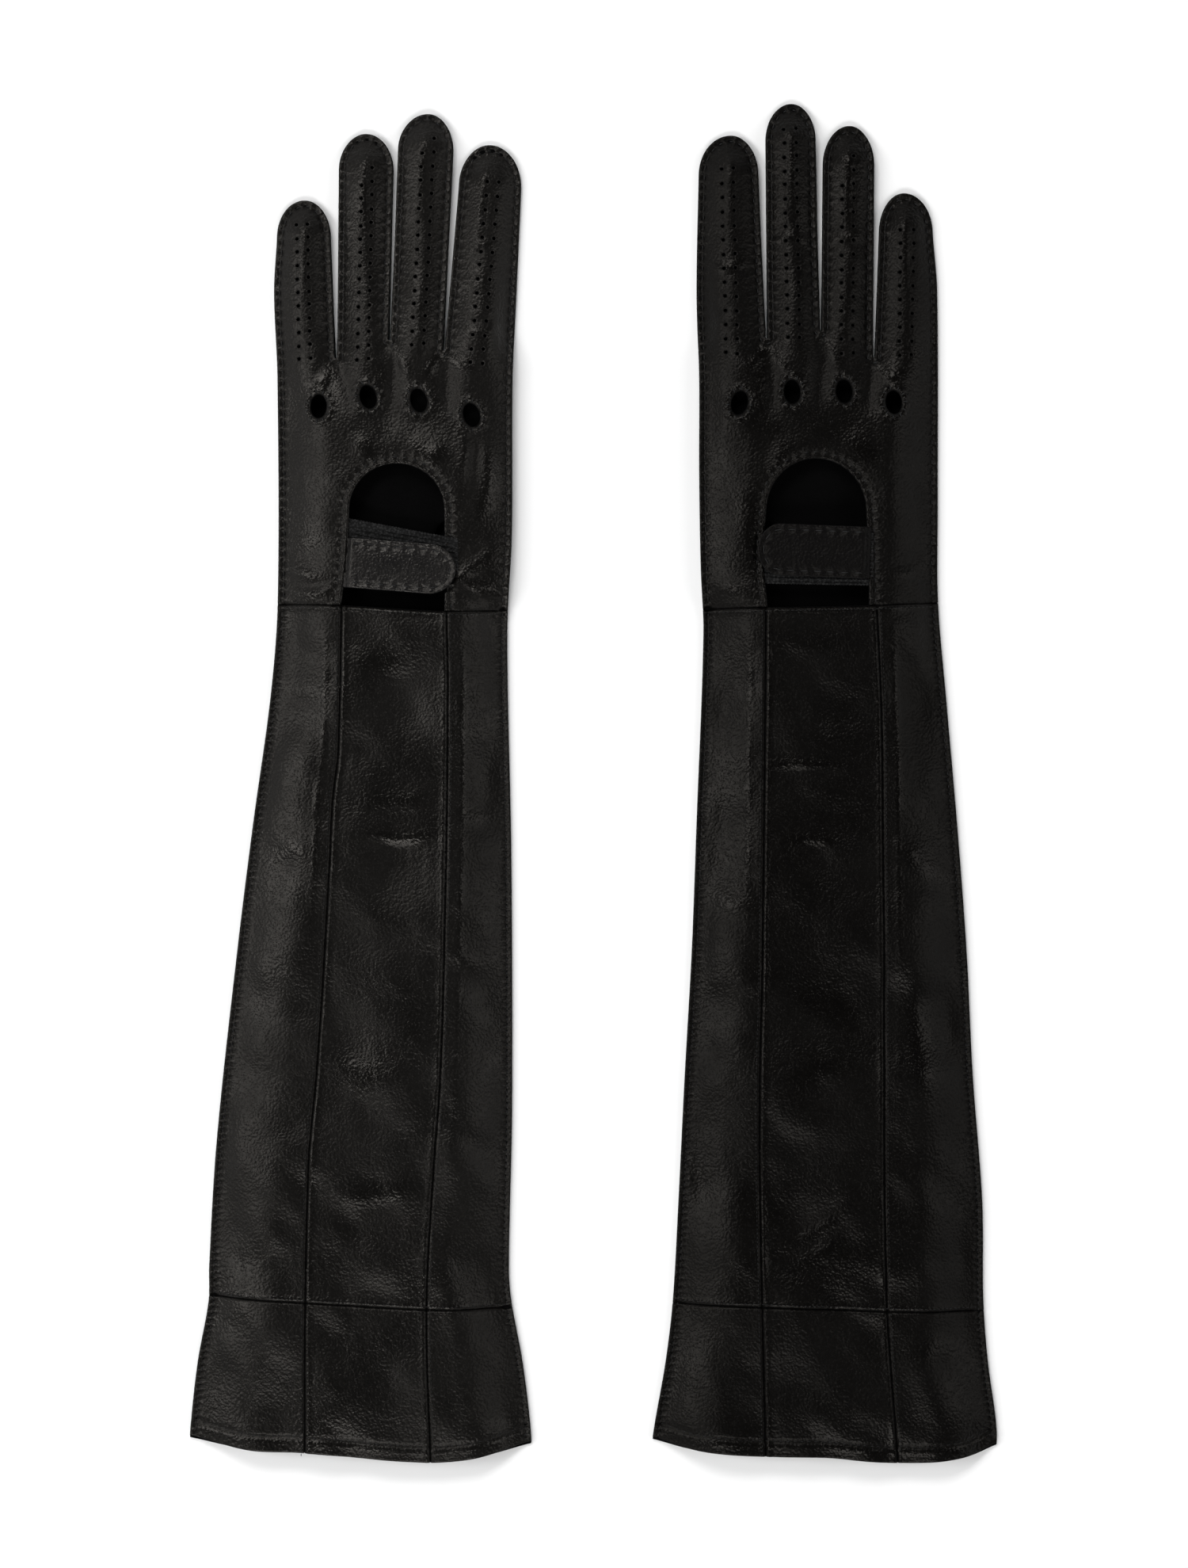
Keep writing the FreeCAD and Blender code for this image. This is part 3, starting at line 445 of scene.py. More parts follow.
class Glove:
    """One glove's outlines, heights and looks. Low and high name the sides by x."""

    def __init__(self, data):
        self.data = data
        self.name = data["name"]
        self.body = self.name + "_glove"
        self.low_edge = line_of(data["low_edge"])
        self.high_edge = line_of(data["high_edge"])
        self.low_seam = line_of(data["low_seam"])
        self.high_seam = line_of(data["high_seam"])
        self.wrist_seam = line_of(data["wrist_seam"])
        self.cuff_seam = line_of(data["cuff_seam"])
        self.hem = line_of(data["hem"])
        thumb_is_high = data["thumb_side"] > 0
        self.thumb_edge = self.high_edge if thumb_is_high else self.low_edge
        self.seed = 3 if thumb_is_high else 11
        # The right glove gets the darker painted-shade copies of the leather; the left strap gets a paler
        # painted-highlight copy
        self.grain = GRAIN if thumb_is_high else GRAIN_RIGHT_PAINTED_SHADE
        self.strap_painted_light_and_shade = STRAP_PAINTED_HIGHLIGHT if thumb_is_high else STRAP_RIGHT_PAINTED_SHADE
        self.relief = []

    def side_line(self, number, side, y):
        """Side of a finger, straight from the crotch to the rounding of its tip."""
        finger = self.data["fingers"][number]
        crotch = self.data["crotches"][number if side == "high" else number - 1]
        root_x = crotch[0] - CROTCH_RADIUS if side == "high" else crotch[0] + CROTCH_RADIUS
        shoulder_y = finger["tip"][1] - finger["rounding"]
        share = (y - crotch[1]) / (shoulder_y - crotch[1])
        return root_x + (finger[side] - root_x) * share

    def gap_line(self, number, y):
        return (self.side_line(number, "high", y) + self.side_line(number + 1, "low", y)) / 2

    def palm_lift(self, x, y, ease_end=LIFT_FINGERS[1]):
        """Underside of the palm leather, raised over the folded thumb."""
        across = 1.0 - smooth(*LIFT_REACH, np.abs(x - self.thumb_edge(y)))
        along = smooth(*LIFT_WRIST, y) * (1.0 - smooth(LIFT_FINGERS[0], ease_end, y))
        return PALM_LIFT * across * along

    def back_seat(self, x, y):
        """Seat of the back leather, which eases off the thumb more gently than the palm leather."""
        lift = self.palm_lift(x, y)
        extra = np.maximum(self.palm_lift(x, y, BACK_EASE_END) - lift, 0.0)
        return lift + LEATHER + SEWN_GAP + extra * smooth(*THUMB_DRAPE, self.edge_distance(x, y))

    def edge_distance(self, x, y):
        """Distance from the nearer side of the glove."""
        return np.minimum(x - self.low_edge(y), self.high_edge(y) - x)

    def finger_height(self, number, x, y):
        """Underside of one finger's back leather, domed at the tip."""
        finger = self.data["fingers"][number]
        low = self.low_edge(y) if number == 0 else self.side_line(number, "low", y)
        high = self.high_edge(y) if number == 3 else self.side_line(number, "high", y)
        low_rise = 0.0 if number == 0 else FINGER_SIDE
        high_rise = 0.0 if number == 3 else FINGER_SIDE
        width = high - low
        t = clamp((x - low) / width)
        side = low_rise + (high_rise - low_rise) * t
        peak = FINGER_PEAK - LEATHER - SEWN_GAP - (low_rise + high_rise) / 2
        tip_y, rounding = finger["tip"][1], finger["rounding"]
        across = np.abs(x - (low + high) / 2) / (width / 2)
        ahead = np.clip((y - tip_y + rounding) / rounding, 0.0, 1.0)
        inside = np.maximum(1.0 - np.hypot(across, ahead), 0.0) * width / 2
        arch = peak * climb((inside - FINGER_EDGE) / (width / 2 - FINGER_EDGE)) ** 0.9
        return self.back_seat(x, y) + side * (1.0 - smooth(0.0, 0.9, ahead)) + arch

    def back_height(self, x, y):
        """Underside of the back leather anywhere on the glove."""
        seat = self.back_seat(x, y)
        hand = smooth(*HAND_BLEND, y)
        peak = SLEEVE_PEAK + (HAND_PEAK - SLEEVE_PEAK) * hand
        reach = SLEEVE_CLIMB + (HAND_CLIMB - SLEEVE_CLIMB) * hand
        height = seat + (peak - seat) * climb((self.edge_distance(x, y) - EDGE_FLANGE) / reach)
        share = smooth(*FINGER_BLEND, y)
        if not np.any(share > 0.0):
            return height
        fingers = self.finger_height(0, x, y)
        for number in range(3):
            step = smooth(*GAP_BLEND, x - self.gap_line(number, y))
            fingers = fingers + (self.finger_height(number + 1, x, y) - fingers) * step
        return height + (fingers - height) * share

    def undulation(self, x, y):
        """Slow unevenness of leather lying loose over nothing."""
        inside = smooth(2.0, 10.0, self.edge_distance(x, y))
        hand = smooth(58.0, 75.0, y)
        fingers = smooth(158.0, 172.0, y)
        broad = 1.5 * noise(x / 24, y / 29, self.seed) + 0.7 * noise(x / 12 + y / 30, y / 14, self.seed + 1)
        small = 0.13 * noise(x / 6, y / 7, self.seed + 2) + 0.02 * noise(x / 2.2, y / 2.6, self.seed + 3)
        patches = smooth(0.0, 0.5, noise(x / 22, y / 30, self.seed + 5))
        streaks = 0.07 * noise(x / 1.5, y / 9, self.seed + 4) * patches
        return inside * ((broad * (1.0 - 0.15 * hand) * (1.0 - 0.72 * fingers)) + small + streaks)

    def back_top(self, x, y):
        """Outer face of the back leather with its relief, and the relief alone."""
        x = np.asarray(x, float)
        y = np.asarray(y, float)
        z = self.back_height(x, y) + LEATHER + self.undulation(x, y)
        change = np.zeros(len(x))
        for feature in self.relief:
            feature(x, y, change)
        return z + change, change

    def palm_under(self, x, y):
        """Outer face of the palm leather, which lies on the table or over the thumb."""
        x = np.asarray(x, float)
        y = np.asarray(y, float)
        lifted = self.palm_lift(x, y)
        inside = smooth(2.0, 12.0, self.edge_distance(x, y))
        wave = 0.25 * (1.0 + noise(x / 9, y / 12, self.seed + 6)) * inside
        return lifted + wave * (1.0 - smooth(0.2, 2.0, lifted))

    # ------------------------------------------------------------ outlines

    def finger_runs(self, inset):
        """Outline round the four fingers, from the low edge to the high one."""
        fingers = self.data["fingers"]
        runs = []
        for number, finger in enumerate(fingers):
            tip_x, tip_y = finger["tip"]
            rounding = finger["rounding"]
            middle = (tip_x, tip_y - rounding)
            rise = rounding - inset
            runs.append(quarter(middle, (tip_x - finger["low"] - inset, rise), 180, 90))
            runs.append(quarter(middle, (finger["high"] - tip_x - inset, rise), 90, 0)[1:])
            if number < 3:
                radius = CROTCH_RADIUS + inset
                runs.append(quarter(self.data["crotches"][number], (radius, radius), -180, 0, 12))
        return np.vstack(runs)

    def hand_path(self, inset=0.0, shift=0.0):
        """Path up one edge of the hand, round the fingers and down the other edge."""
        fingers = self.data["fingers"]
        low_start = self.wrist_seam(self.low_edge(WRIST_LEVEL)) + shift
        high_start = self.wrist_seam(self.high_edge(WRIST_LEVEL)) + shift
        low_y = np.linspace(low_start, fingers[0]["tip"][1] - fingers[0]["rounding"], 60)[:-1]
        high_y = np.linspace(fingers[3]["tip"][1] - fingers[3]["rounding"], high_start, 60)[1:]
        return np.vstack([
            np.column_stack([self.low_edge(low_y) + inset, low_y]),
            self.finger_runs(inset),
            np.column_stack([self.high_edge(high_y) - inset, high_y]),
        ])

    def keyhole_path(self, offset=0.0):
        """The keyhole's edge, from its low foot over the arch to its high foot."""
        keyhole = self.data["keyhole"]
        x, y = keyhole["centre"]
        low_foot, high_foot = keyhole["feet"]
        arch = quarter((x, y), (keyhole["half_width"] + offset, keyhole["rise"] + offset), 180, 0, 60)
        shoulder = y - KEYHOLE_SHOULDER
        low_start = (low_foot - offset, self.wrist_seam(low_foot))
        high_end = (high_foot + offset, self.wrist_seam(high_foot))
        start = spline([low_start, (arch[0][0] - 1.0, shoulder), tuple(arch[0])])
        end = spline([tuple(arch[-1]), (high_end[0], shoulder), high_end])
        return np.vstack([start[:-1], arch, end[1:]])

    def palm_outline(self):
        path = self.hand_path()
        x = np.linspace(path[-1][0], path[0][0], 60)[1:-1]
        return np.vstack([path, np.column_stack([x, self.wrist_seam(x)])])

    def back_outline(self):
        """Closed outline of the back of the hand, with the keyhole taken out of it."""
        path = self.hand_path()
        keyhole = self.keyhole_path()
        high_x = np.linspace(path[-1][0], keyhole[-1][0], 20)[1:-1]
        low_x = np.linspace(keyhole[0][0], path[0][0], 20)[1:-1]
        return np.vstack([
            path,
            np.column_stack([high_x, self.wrist_seam(high_x)]),
            keyhole[::-1],
            np.column_stack([low_x, self.wrist_seam(low_x)]),
        ])

    def knuckle_path(self, knuckle, offset=0.0):
        x, y, lean = knuckle
        reach = (KNUCKLE_HALF_WIDTH + offset, KNUCKLE_HALF_HEIGHT + offset)
        oval = quarter((0.0, 0.0), reach, 0, 360, 49)[:-1]
        return np.column_stack(turned((x, y), lean, oval[:, 0], oval[:, 1]))

    def perforations(self):
        """Centres of the punched holes, slightly out of line."""
        holes = []
        for top, bottom, rows in self.data["perforations"]:
            for share in np.linspace(0.0, 1.0, rows):
                x = top[0] + (bottom[0] - top[0]) * share
                y = top[1] + (bottom[1] - top[1]) * share
                holes.append((x + 0.16 * noise(x, y * 3), y + 0.3 * noise(x * 2, y)))
        return holes

    def panel_path(self, low_line, high_line, bottom_line, top_line):
        """Closed outline between two side lines and two cross lines."""
        def corner(side, cross):
            y = 0.0
            for _ in range(12):
                x = side(y)
                y = cross(x)
            return float(x), float(y)

        a, b = corner(low_line, bottom_line), corner(high_line, bottom_line)
        c, d = corner(high_line, top_line), corner(low_line, top_line)
        bottom = np.linspace(a[0], b[0], 80)
        right = np.linspace(b[1], c[1], 160)
        top = np.linspace(c[0], d[0], 80)
        left = np.linspace(d[1], a[1], 160)
        return np.vstack([
            np.column_stack([bottom, bottom_line(bottom)])[:-1],
            np.column_stack([high_line(right), right])[:-1],
            np.column_stack([top, top_line(top)])[:-1],
            np.column_stack([low_line(left), left])[:-1],
        ])

    def side_path(self, line, inset, bottom_y, top_y):
        y = np.linspace(bottom_y, top_y, 200)
        return np.column_stack([line(y) + inset, y])

    def cross_path(self, line, shift, low_x, high_x):
        x = np.linspace(low_x, high_x, 120)
        return np.column_stack([x, line(x) + shift])


# ---------------------------------------------------------------- relief on the leather

def bell(distance, width):
    """Bump of height 1 that fades over a width."""
    return np.exp(-((distance / width) ** 2))


def stitched(track, pitch, depth, width, pucker=0.0):
    """Row of stitches pulled into the leather, with puckers swelling between them."""
    def feature(x, y, change):
        at, distance, along = track.near(x, y, STITCH_REACH)
        wave = np.cos(2 * math.pi * along / pitch)
        change[at] -= depth * bell(distance, width) * (0.55 + 0.45 * wave)
        ridge = np.maximum(-wave, 0.0) ** 1.5 - 0.3
        change[at] += pucker * bell(np.abs(distance) - width * 1.6, width * 1.3) * ridge
    return feature


def sewn(track, depth, width, ridge, ridge_at, ridge_width):
    """Plain seam: a groove with a soft ridge of turned-in leather beside it."""
    def feature(x, y, change):
        at, distance, _ = track.near(x, y, SEAM_REACH)
        change[at] -= depth * bell(distance, width)
        change[at] += ridge * bell(distance - ridge_at, ridge_width)
    return feature


def creased(points, height, width):
    """Fold with a hollow along one side, fading at both ends."""
    track = Track(spline(points, 0.5))

    def feature(x, y, change):
        at, distance, along = track.near(x, y, width * 2.5)
        fade = np.sin(math.pi * clamp(along / track.total)) ** 1.3
        wander = 0.3 * width * noise(along / (3.0 * width + 4.0), np.full(len(along), 3.0))
        hollow = 0.45 * bell(distance - wander + width * 1.2, width)
        change[at] += height * fade * (bell(distance - wander, width) - hollow)
    return feature


def allowance(track, offset, height, width, start, end):
    """Edge of the seam allowance showing through as a faint step beside a seam."""
    def feature(x, y, change):
        at, distance, along = track.near(x, y, abs(offset) + 4.0)
        fade = smooth(start[0], start[1], y[at]) * (1.0 - smooth(end[0], end[1], y[at]))
        rough = 0.75 + 0.5 * noise(along / 5.0, np.full(len(along), offset))
        change[at] += height * fade * rough * bell(distance - offset, width)
    return feature


def dimpled(centre, radius, depth, width):
    """Leather turned down at the edge of a punched hole."""
    def feature(x, y, change):
        reach = radius + 3 * width
        near = (np.abs(x - centre[0]) < reach) & (np.abs(y - centre[1]) < reach)
        distance = np.hypot(x[near] - centre[0], y[near] - centre[1]) - radius
        change[near] -= depth * bell(np.maximum(distance, 0.0), width)
    return feature


def whipped(track, count):
    """Oval hole whose rim is drawn in by radial stitches."""
    def feature(x, y, change):
        at, distance, along = track.near(x, y, 5.0)
        outside = -distance
        wave = np.cos(2 * math.pi * count * along / track.total)
        change[at] += 0.42 * bell(outside - 1.6, 1.1) - 0.5 * bell(outside, 0.55)
        change[at] += -0.22 * wave * bell(outside - 1.7, 1.0)
    return feature


# ---------------------------------------------------------------- meshes

def inside_polygon(x, y, polygon):
    """Which points lie inside a closed outline."""
    inside = np.zeros(len(x), bool)
    x0, y0 = polygon[:, 0], polygon[:, 1]
    x1, y1 = np.roll(x0, -1), np.roll(y0, -1)
    for ax, ay, bx, by in zip(x0, y0, x1, y1):
        if ay == by:
            continue
        crosses = (ay > y) != (by > y)
        where = (bx - ax) * (y - ay) / (by - ay) + ax
        inside ^= crosses & (x < where)
    return inside


def distance_to(x, y, polygons, reach):
    """Distance from points to the nearest outline point, or reach if none is that near."""
    tree = tree_of(np.vstack(polygons))
    return np.array([min(tree.find((a, b, 0.0))[2], reach) for a, b in zip(x, y)])


def on_sheet(x, y, outline, holes):
    """Which points lie inside an outline and outside its holes."""
    keep = inside_polygon(x, y, outline)
    for hole in holes:
        low, high = hole.min(axis=0), hole.max(axis=0)
        near = (x > low[0]) & (x < high[0]) & (y > low[1]) & (y < high[1])
        inner = inside_polygon(x[near], y[near], hole)
        keep[np.nonzero(near)[0][inner]] = False
    return keep


def fill_points(outline, holes, rows, step):
    """Points to build a sheet on: a loose hexagonal grid, and finer rows beside the stitching."""
    low, high = outline.min(axis=0), outline.max(axis=0)
    columns = np.arange(low[0], high[0], step)
    lines = np.arange(low[1], high[1], step * 0.866)
    x, y = np.meshgrid(columns, lines)
    x = x + (np.arange(len(lines)) % 2)[:, None] * step / 2
    x, y = x.ravel(), y.ravel()
    keep = on_sheet(x, y, outline, holes)
    x, y = x[keep], y[keep]
    clear = distance_to(x, y, [outline] + holes + rows, step) > 0.55 * EDGE_STEP
    x, y = x[clear], y[clear]
    extra = []
    for row in rows:
        inner = row[inside_polygon(row[:, 0], row[:, 1], outline)]
        if len(inner):
            away = distance_to(inner[:, 0], inner[:, 1], [outline] + holes, 1.0) > 0.3
            extra.append(inner[away])
    return np.vstack([np.column_stack([x, y])] + extra)


def triangulate(outline, holes, points):
    """Points and triangles of a flat sheet with holes. Every triangle turns to the left."""
    loops = [outline] + holes
    coordinates = [Vector((float(x), float(y))) for loop in loops for x, y in loop]
    edges = []
    start = 0
    for loop in loops:
        count = len(loop)
        edges += [(start + k, start + (k + 1) % count) for k in range(count)]
        start += count
    coordinates += [Vector((float(x), float(y))) for x, y in points]
    placed, _, faces, _, _, _ = delaunay_2d_cdt(coordinates, edges, [], 0, 1e-4, False)
    placed = np.array([(p.x, p.y) for p in placed])
    faces = np.array([tuple(face) for face in faces if len(face) == 3], int)
    centre = placed[faces].mean(axis=1)
    faces = faces[on_sheet(centre[:, 0], centre[:, 1], outline, holes)]
    a, b, c = placed[faces[:, 0]], placed[faces[:, 1]], placed[faces[:, 2]]
    turn = (b[:, 0] - a[:, 0]) * (c[:, 1] - a[:, 1]) - (b[:, 1] - a[:, 1]) * (c[:, 0] - a[:, 0])
    faces[turn < 0] = faces[turn < 0][:, ::-1]
    used = np.unique(faces)
    renumber = np.full(len(placed), -1)
    renumber[used] = np.arange(len(used))
    return placed[used], renumber[faces]


def boundary_edges(faces):
    """Directed edges that only one triangle has."""
    edges = np.vstack([faces[:, [0, 1]], faces[:, [1, 2]], faces[:, [2, 0]]])
    ordered = np.sort(edges, axis=1)
    _, first, counts = np.unique(ordered, axis=0, return_index=True, return_counts=True)
    return edges[first[counts == 1]]


def make_object(name, vertices, faces, materials, slots=None, values=None):
    """Object from vertices in millimetres."""
    mesh = bpy.data.meshes.new(name)
    mesh.from_pydata((np.asarray(vertices) / PER_METRE).tolist(), [], [tuple(face) for face in faces])
    for material in materials:
        mesh.materials.append(material)
    if slots is not None:
        mesh.polygons.foreach_set("material_index", np.asarray(slots, np.int32))
    mesh.polygons.foreach_set("use_smooth", np.ones(len(mesh.polygons), bool))
    if values is not None:
        attribute = mesh.attributes.new("painted_relief_light", "FLOAT", "POINT")
        attribute.data.foreach_set("value", np.asarray(values, np.float32))
    mesh.update()
    thing = bpy.data.objects.new(name, mesh)
    bpy.context.scene.collection.objects.link(thing)
    return thing


def leather_sheet(name, outline, holes, rows, outer, grain, thickness=LEATHER, face_up=True, step=FILL_STEP):
    """Sheet of leather with real thickness. outer gives the height and the relief of its outer face."""
    outline = resample(outline, EDGE_STEP, closed=True)
    flat, faces = triangulate(outline, holes, fill_points(outline, holes, rows, step))
    height, change = outer(flat[:, 0], flat[:, 1])
    other = height - thickness if face_up else height + thickness
    count = len(flat)
    border = boundary_edges(faces)
    rim_points = np.unique(border)
    rim_number = np.full(count, -1)
    rim_number[rim_points] = np.arange(len(rim_points)) + 2 * count
    outward = np.zeros((count, 2))
    along = unit(flat[border[:, 1]] - flat[border[:, 0]])
    normal = np.column_stack([along[:, 1], -along[:, 0]])
    np.add.at(outward, border[:, 0], normal)
    np.add.at(outward, border[:, 1], normal)
    middle = np.column_stack([flat + unit(outward) * RIM_BULGE, (height + other) / 2])[rim_points]
    vertices = np.vstack([np.column_stack([flat, height]), np.column_stack([flat, other]), middle])
    a, b = border[:, 0], border[:, 1]
    top_faces = faces if face_up else faces[:, ::-1]
    under_faces = faces[:, ::-1] + count if face_up else faces + count
    upper = np.column_stack([b, a, rim_number[a], rim_number[b]])
    lower = np.column_stack([rim_number[b], rim_number[a], a + count, b + count])
    if not face_up:
        upper, lower = upper[:, ::-1], lower[:, ::-1]
    all_faces = top_faces.tolist() + under_faces.tolist() + upper.tolist() + lower.tolist()
    slots = [0] * len(top_faces) + [1] * len(under_faces) + [2] * (2 * len(border))
    # The relief is kept for painted light and shade in the leather's colour: raised relief paler, sunken
    # relief darker; the rim gets 0.3 more
    painted_relief_light = np.concatenate([change, change, change[rim_points] + 0.3])
    return make_object(name, vertices, all_faces, [grain, FLESH, CUT_EDGE], slots, painted_relief_light)


def tube_faces(rings, sides, first=0):
    """Quads between rings of vertices, with a cap at each end."""
    faces = []
    for ring in range(rings - 1):
        for side in range(sides):
            a = first + ring * sides + side
            b = first + ring * sides + (side + 1) % sides
            faces.append((a, b, b + sides, a + sides))
    faces.append(tuple(first + side for side in reversed(range(sides))))
    faces.append(tuple(first + (rings - 1) * sides + side for side in range(sides)))
    return faces


def thread_piece(name, stitches, surface, radius, rise, below=False):
    """One mesh of separate stitches, each from a start to an end, arching out of the leather."""
    rings, sides = len(STITCH_GIRTHS), 6
    share = np.linspace(0.0, 1.0, rings)
    starts = np.array([s[0] for s in stitches], float)
    ends = np.array([s[1] for s in stitches], float)
    middle = starts[:, None, :] + (ends - starts)[:, None, :] * share[None, :, None]
    flat = middle.reshape(-1, 2)
    height = surface(flat[:, 0], flat[:, 1])[0].reshape(len(stitches), rings)
    base = height[:, [0, -1]].mean(axis=1)[:, None] * 0.5 + height * 0.5
    sign = -1.0 if below else 1.0
    arch = base + sign * (-0.8 * radius + (rise + 0.8 * radius) * np.sin(math.pi * share) ** 0.6)
    ahead = unit(ends - starts)
    across = np.column_stack([-ahead[:, 1], ahead[:, 0]])
    girth = radius * np.array(STITCH_GIRTHS)
    angle = np.linspace(0, 2 * math.pi, sides, endpoint=False)
    vertices = np.empty((len(stitches), rings, sides, 3))
    for side in range(sides):
        out = math.cos(angle[side]) * girth
        vertices[:, :, side, 0] = middle[:, :, 0] + across[:, None, 0] * out
        vertices[:, :, side, 1] = middle[:, :, 1] + across[:, None, 1] * out
        vertices[:, :, side, 2] = arch + math.sin(angle[side]) * girth
    faces = []
    for index in range(len(stitches)):
        faces += tube_faces(rings, sides, index * rings * sides)
    piece = make_object(name, vertices.reshape(-1, 3), faces, [THREAD])
    return piece


def running(path, pitch, share, seed, closed=False, start=0.5):
    """Start and end of each stitch of a running stitch, which covers a share of each pitch."""
    path = np.asarray(path, float)
    if closed:
        path = np.vstack([path, path[:1]])
    length = arc_length(path)
    count = int(length[-1] / pitch)
    pitch = length[-1] / max(count, 1)
    stitches = []
    for index in range(count):
        centre = (index + start) * pitch + 0.06 * pitch * noise(index * 1.7, seed)
        half = share * pitch / 2
        ends = [centre - half, centre + half]
        xs = np.interp(ends, length, path[:, 0])
        ys = np.interp(ends, length, path[:, 1])
        stitches.append(((xs[0], ys[0]), (xs[1], ys[1])))
    return stitches


# ---------------------------------------------------------------- materials

def new_material(name):
    """Empty material: itself, its nodes, its shader and the place on the object."""
    material = bpy.data.materials.new(name)
    material.use_nodes = True
    nodes = material.node_tree.nodes
    nodes.clear()
    output = nodes.new("ShaderNodeOutputMaterial")
    shader = nodes.new("ShaderNodeBsdfPrincipled")
    material.node_tree.links.new(shader.outputs["BSDF"], output.inputs["Surface"])
    place = add_node(material.node_tree, "ShaderNodeTexCoord", {}).outputs["Object"]
    return material, material.node_tree, shader, place


def set_inputs(tree, node, inputs):
    """Sets a node's inputs to values or links them to other nodes' sockets."""
    for key, value in inputs.items():
        if isinstance(value, bpy.types.NodeSocket):
            tree.links.new(value, node.inputs[key])
        else:
            node.inputs[key].default_value = value


def add_node(tree, kind, inputs, **settings):
    node = tree.nodes.new(kind)
    for key, value in settings.items():
        setattr(node, key, value)
    set_inputs(tree, node, inputs)
    return node


def texture(tree, kind, place, scale, **inputs):
    """Procedural texture. Its further inputs are given by their names in small letters."""
    values = {"Vector": place, "Scale": scale}
    values.update({key.capitalize(): value for key, value in inputs.items()})
    return add_node(tree, "ShaderNodeTex" + kind, values)


def span(tree, value, start, end, low, high):
    """Value mapped from one range to another."""
    node = add_node(tree, "ShaderNodeMapRange", {
        "Value": value, "From Min": start, "From Max": end, "To Min": low, "To Max": high})
    return node.outputs["Result"]


def bump(tree, height, strength, distance, normal=None, invert=False):
    values = {"Strength": strength, "Distance": distance, "Height": height}
    if normal is not None:
        values["Normal"] = normal
    return add_node(tree, "ShaderNodeBump", values, invert=invert).outputs["Normal"]


def ramp(tree, source, stops):
    node = tree.nodes.new("ShaderNodeValToRGB")
    tree.links.new(source, node.inputs["Fac"])
    elements = node.color_ramp.elements
    while len(elements) < len(stops):
        elements.new(0.5)
    for element, (position, colour) in zip(elements, stops):
        element.position = position
        element.color = (*colour, 1.0)
    return node.outputs["Color"]


def grey(value):
    return (value, value, value)


WARM_SHEEN = (1.0, 0.945, 0.875, 1.0)


def leather_material(name, dark, light, rough_low, rough_high, grain, specular):
    """Fine pebbled leather with an uneven tone and smoother high spots, and painted light and shade from the
    relief: paler on raised spots, darker in stitch grooves, crease hollows and dents.
    """
    material, tree, shader, place = new_material(name)
    warp = texture(tree, "Noise", place, 420.0, detail=2.0)
    bent = add_node(tree, "ShaderNodeMixRGB", {
        "Fac": 0.0012, "Color1": place, "Color2": warp.outputs["Color"]}, blend_type="ADD")
    pebbles = texture(tree, "Voronoi", bent.outputs["Color"], 1100.0)
    pebbles.feature = "SMOOTH_F1"
    fine = texture(tree, "Noise", place, 2600.0, detail=3.0)
    folds = texture(tree, "Noise", place, 430.0, detail=3.0, roughness=0.6, distortion=0.4)
    broad = texture(tree, "Noise", place, 34.0, detail=4.0, roughness=0.55)
    painted_relief_light = add_node(tree, "ShaderNodeAttribute", {}, attribute_name="painted_relief_light").outputs["Fac"]
    # Painted light and shade: the relief height turns into a paler colour on raised spots and a darker one in
    # sunken spots
    relief_light_and_shade = span(tree, painted_relief_light, -0.3, 0.6, -0.25, 0.35)
    mixed = add_node(tree, "ShaderNodeMath", {0: broad.outputs["Fac"], 1: relief_light_and_shade}, operation="ADD")
    tone_and_painted_light = mixed.outputs["Value"]
    coarse = bump(tree, folds.outputs["Fac"], 0.07 * grain, 0.0003)
    pebbled = bump(tree, pebbles.outputs["Distance"], 0.6 * grain, 0.00022, coarse, invert=True)
    set_inputs(tree, shader, {
        "Base Color": ramp(tree, tone_and_painted_light, [(0.3, dark), (0.8, light)]),
        "Roughness": span(tree, tone_and_painted_light, 0.3, 0.75, rough_high, rough_low),
        "Normal": bump(tree, fine.outputs["Fac"], 0.3 * grain, 0.00006, pebbled),
        "Specular IOR Level": specular,
        "Specular Tint": WARM_SHEEN,
    })
    return material


def suede_material(name, dark, light):
    """Napped flesh side of the leather."""
    material, tree, shader, place = new_material(name)
    nap = texture(tree, "Noise", place, 1400.0, detail=4.0, roughness=0.7).outputs["Fac"]
    patch = texture(tree, "Noise", place, 60.0, detail=4.0).outputs["Fac"]
    both = add_node(tree, "ShaderNodeMath", {0: nap, 1: patch}, operation="MULTIPLY")
    set_inputs(tree, shader, {
        "Base Color": ramp(tree, both.outputs["Value"], [(0.12, dark), (0.42, light)]),
        "Normal": bump(tree, nap, 0.6, 0.0002),
        "Roughness": 0.95,
        "Specular IOR Level": 0.05,
    })
    return material


def thread_material(name, dark, light):
    """Twisted waxed thread."""
    material, tree, shader, place = new_material(name)
    twist = texture(tree, "Wave", place, 900.0, distortion=2.0)
    twist.bands_direction = "DIAGONAL"
    fuzz = texture(tree, "Noise", place, 3000.0, detail=2.0)
    set_inputs(tree, shader, {
        "Base Color": ramp(tree, fuzz.outputs["Fac"], [(0.3, dark), (0.7, light)]),
        "Normal": bump(tree, twist.outputs["Fac"], 0.5, 0.0001),
        "Roughness": 0.6,
        "Specular IOR Level": 0.3,
    })
    return material


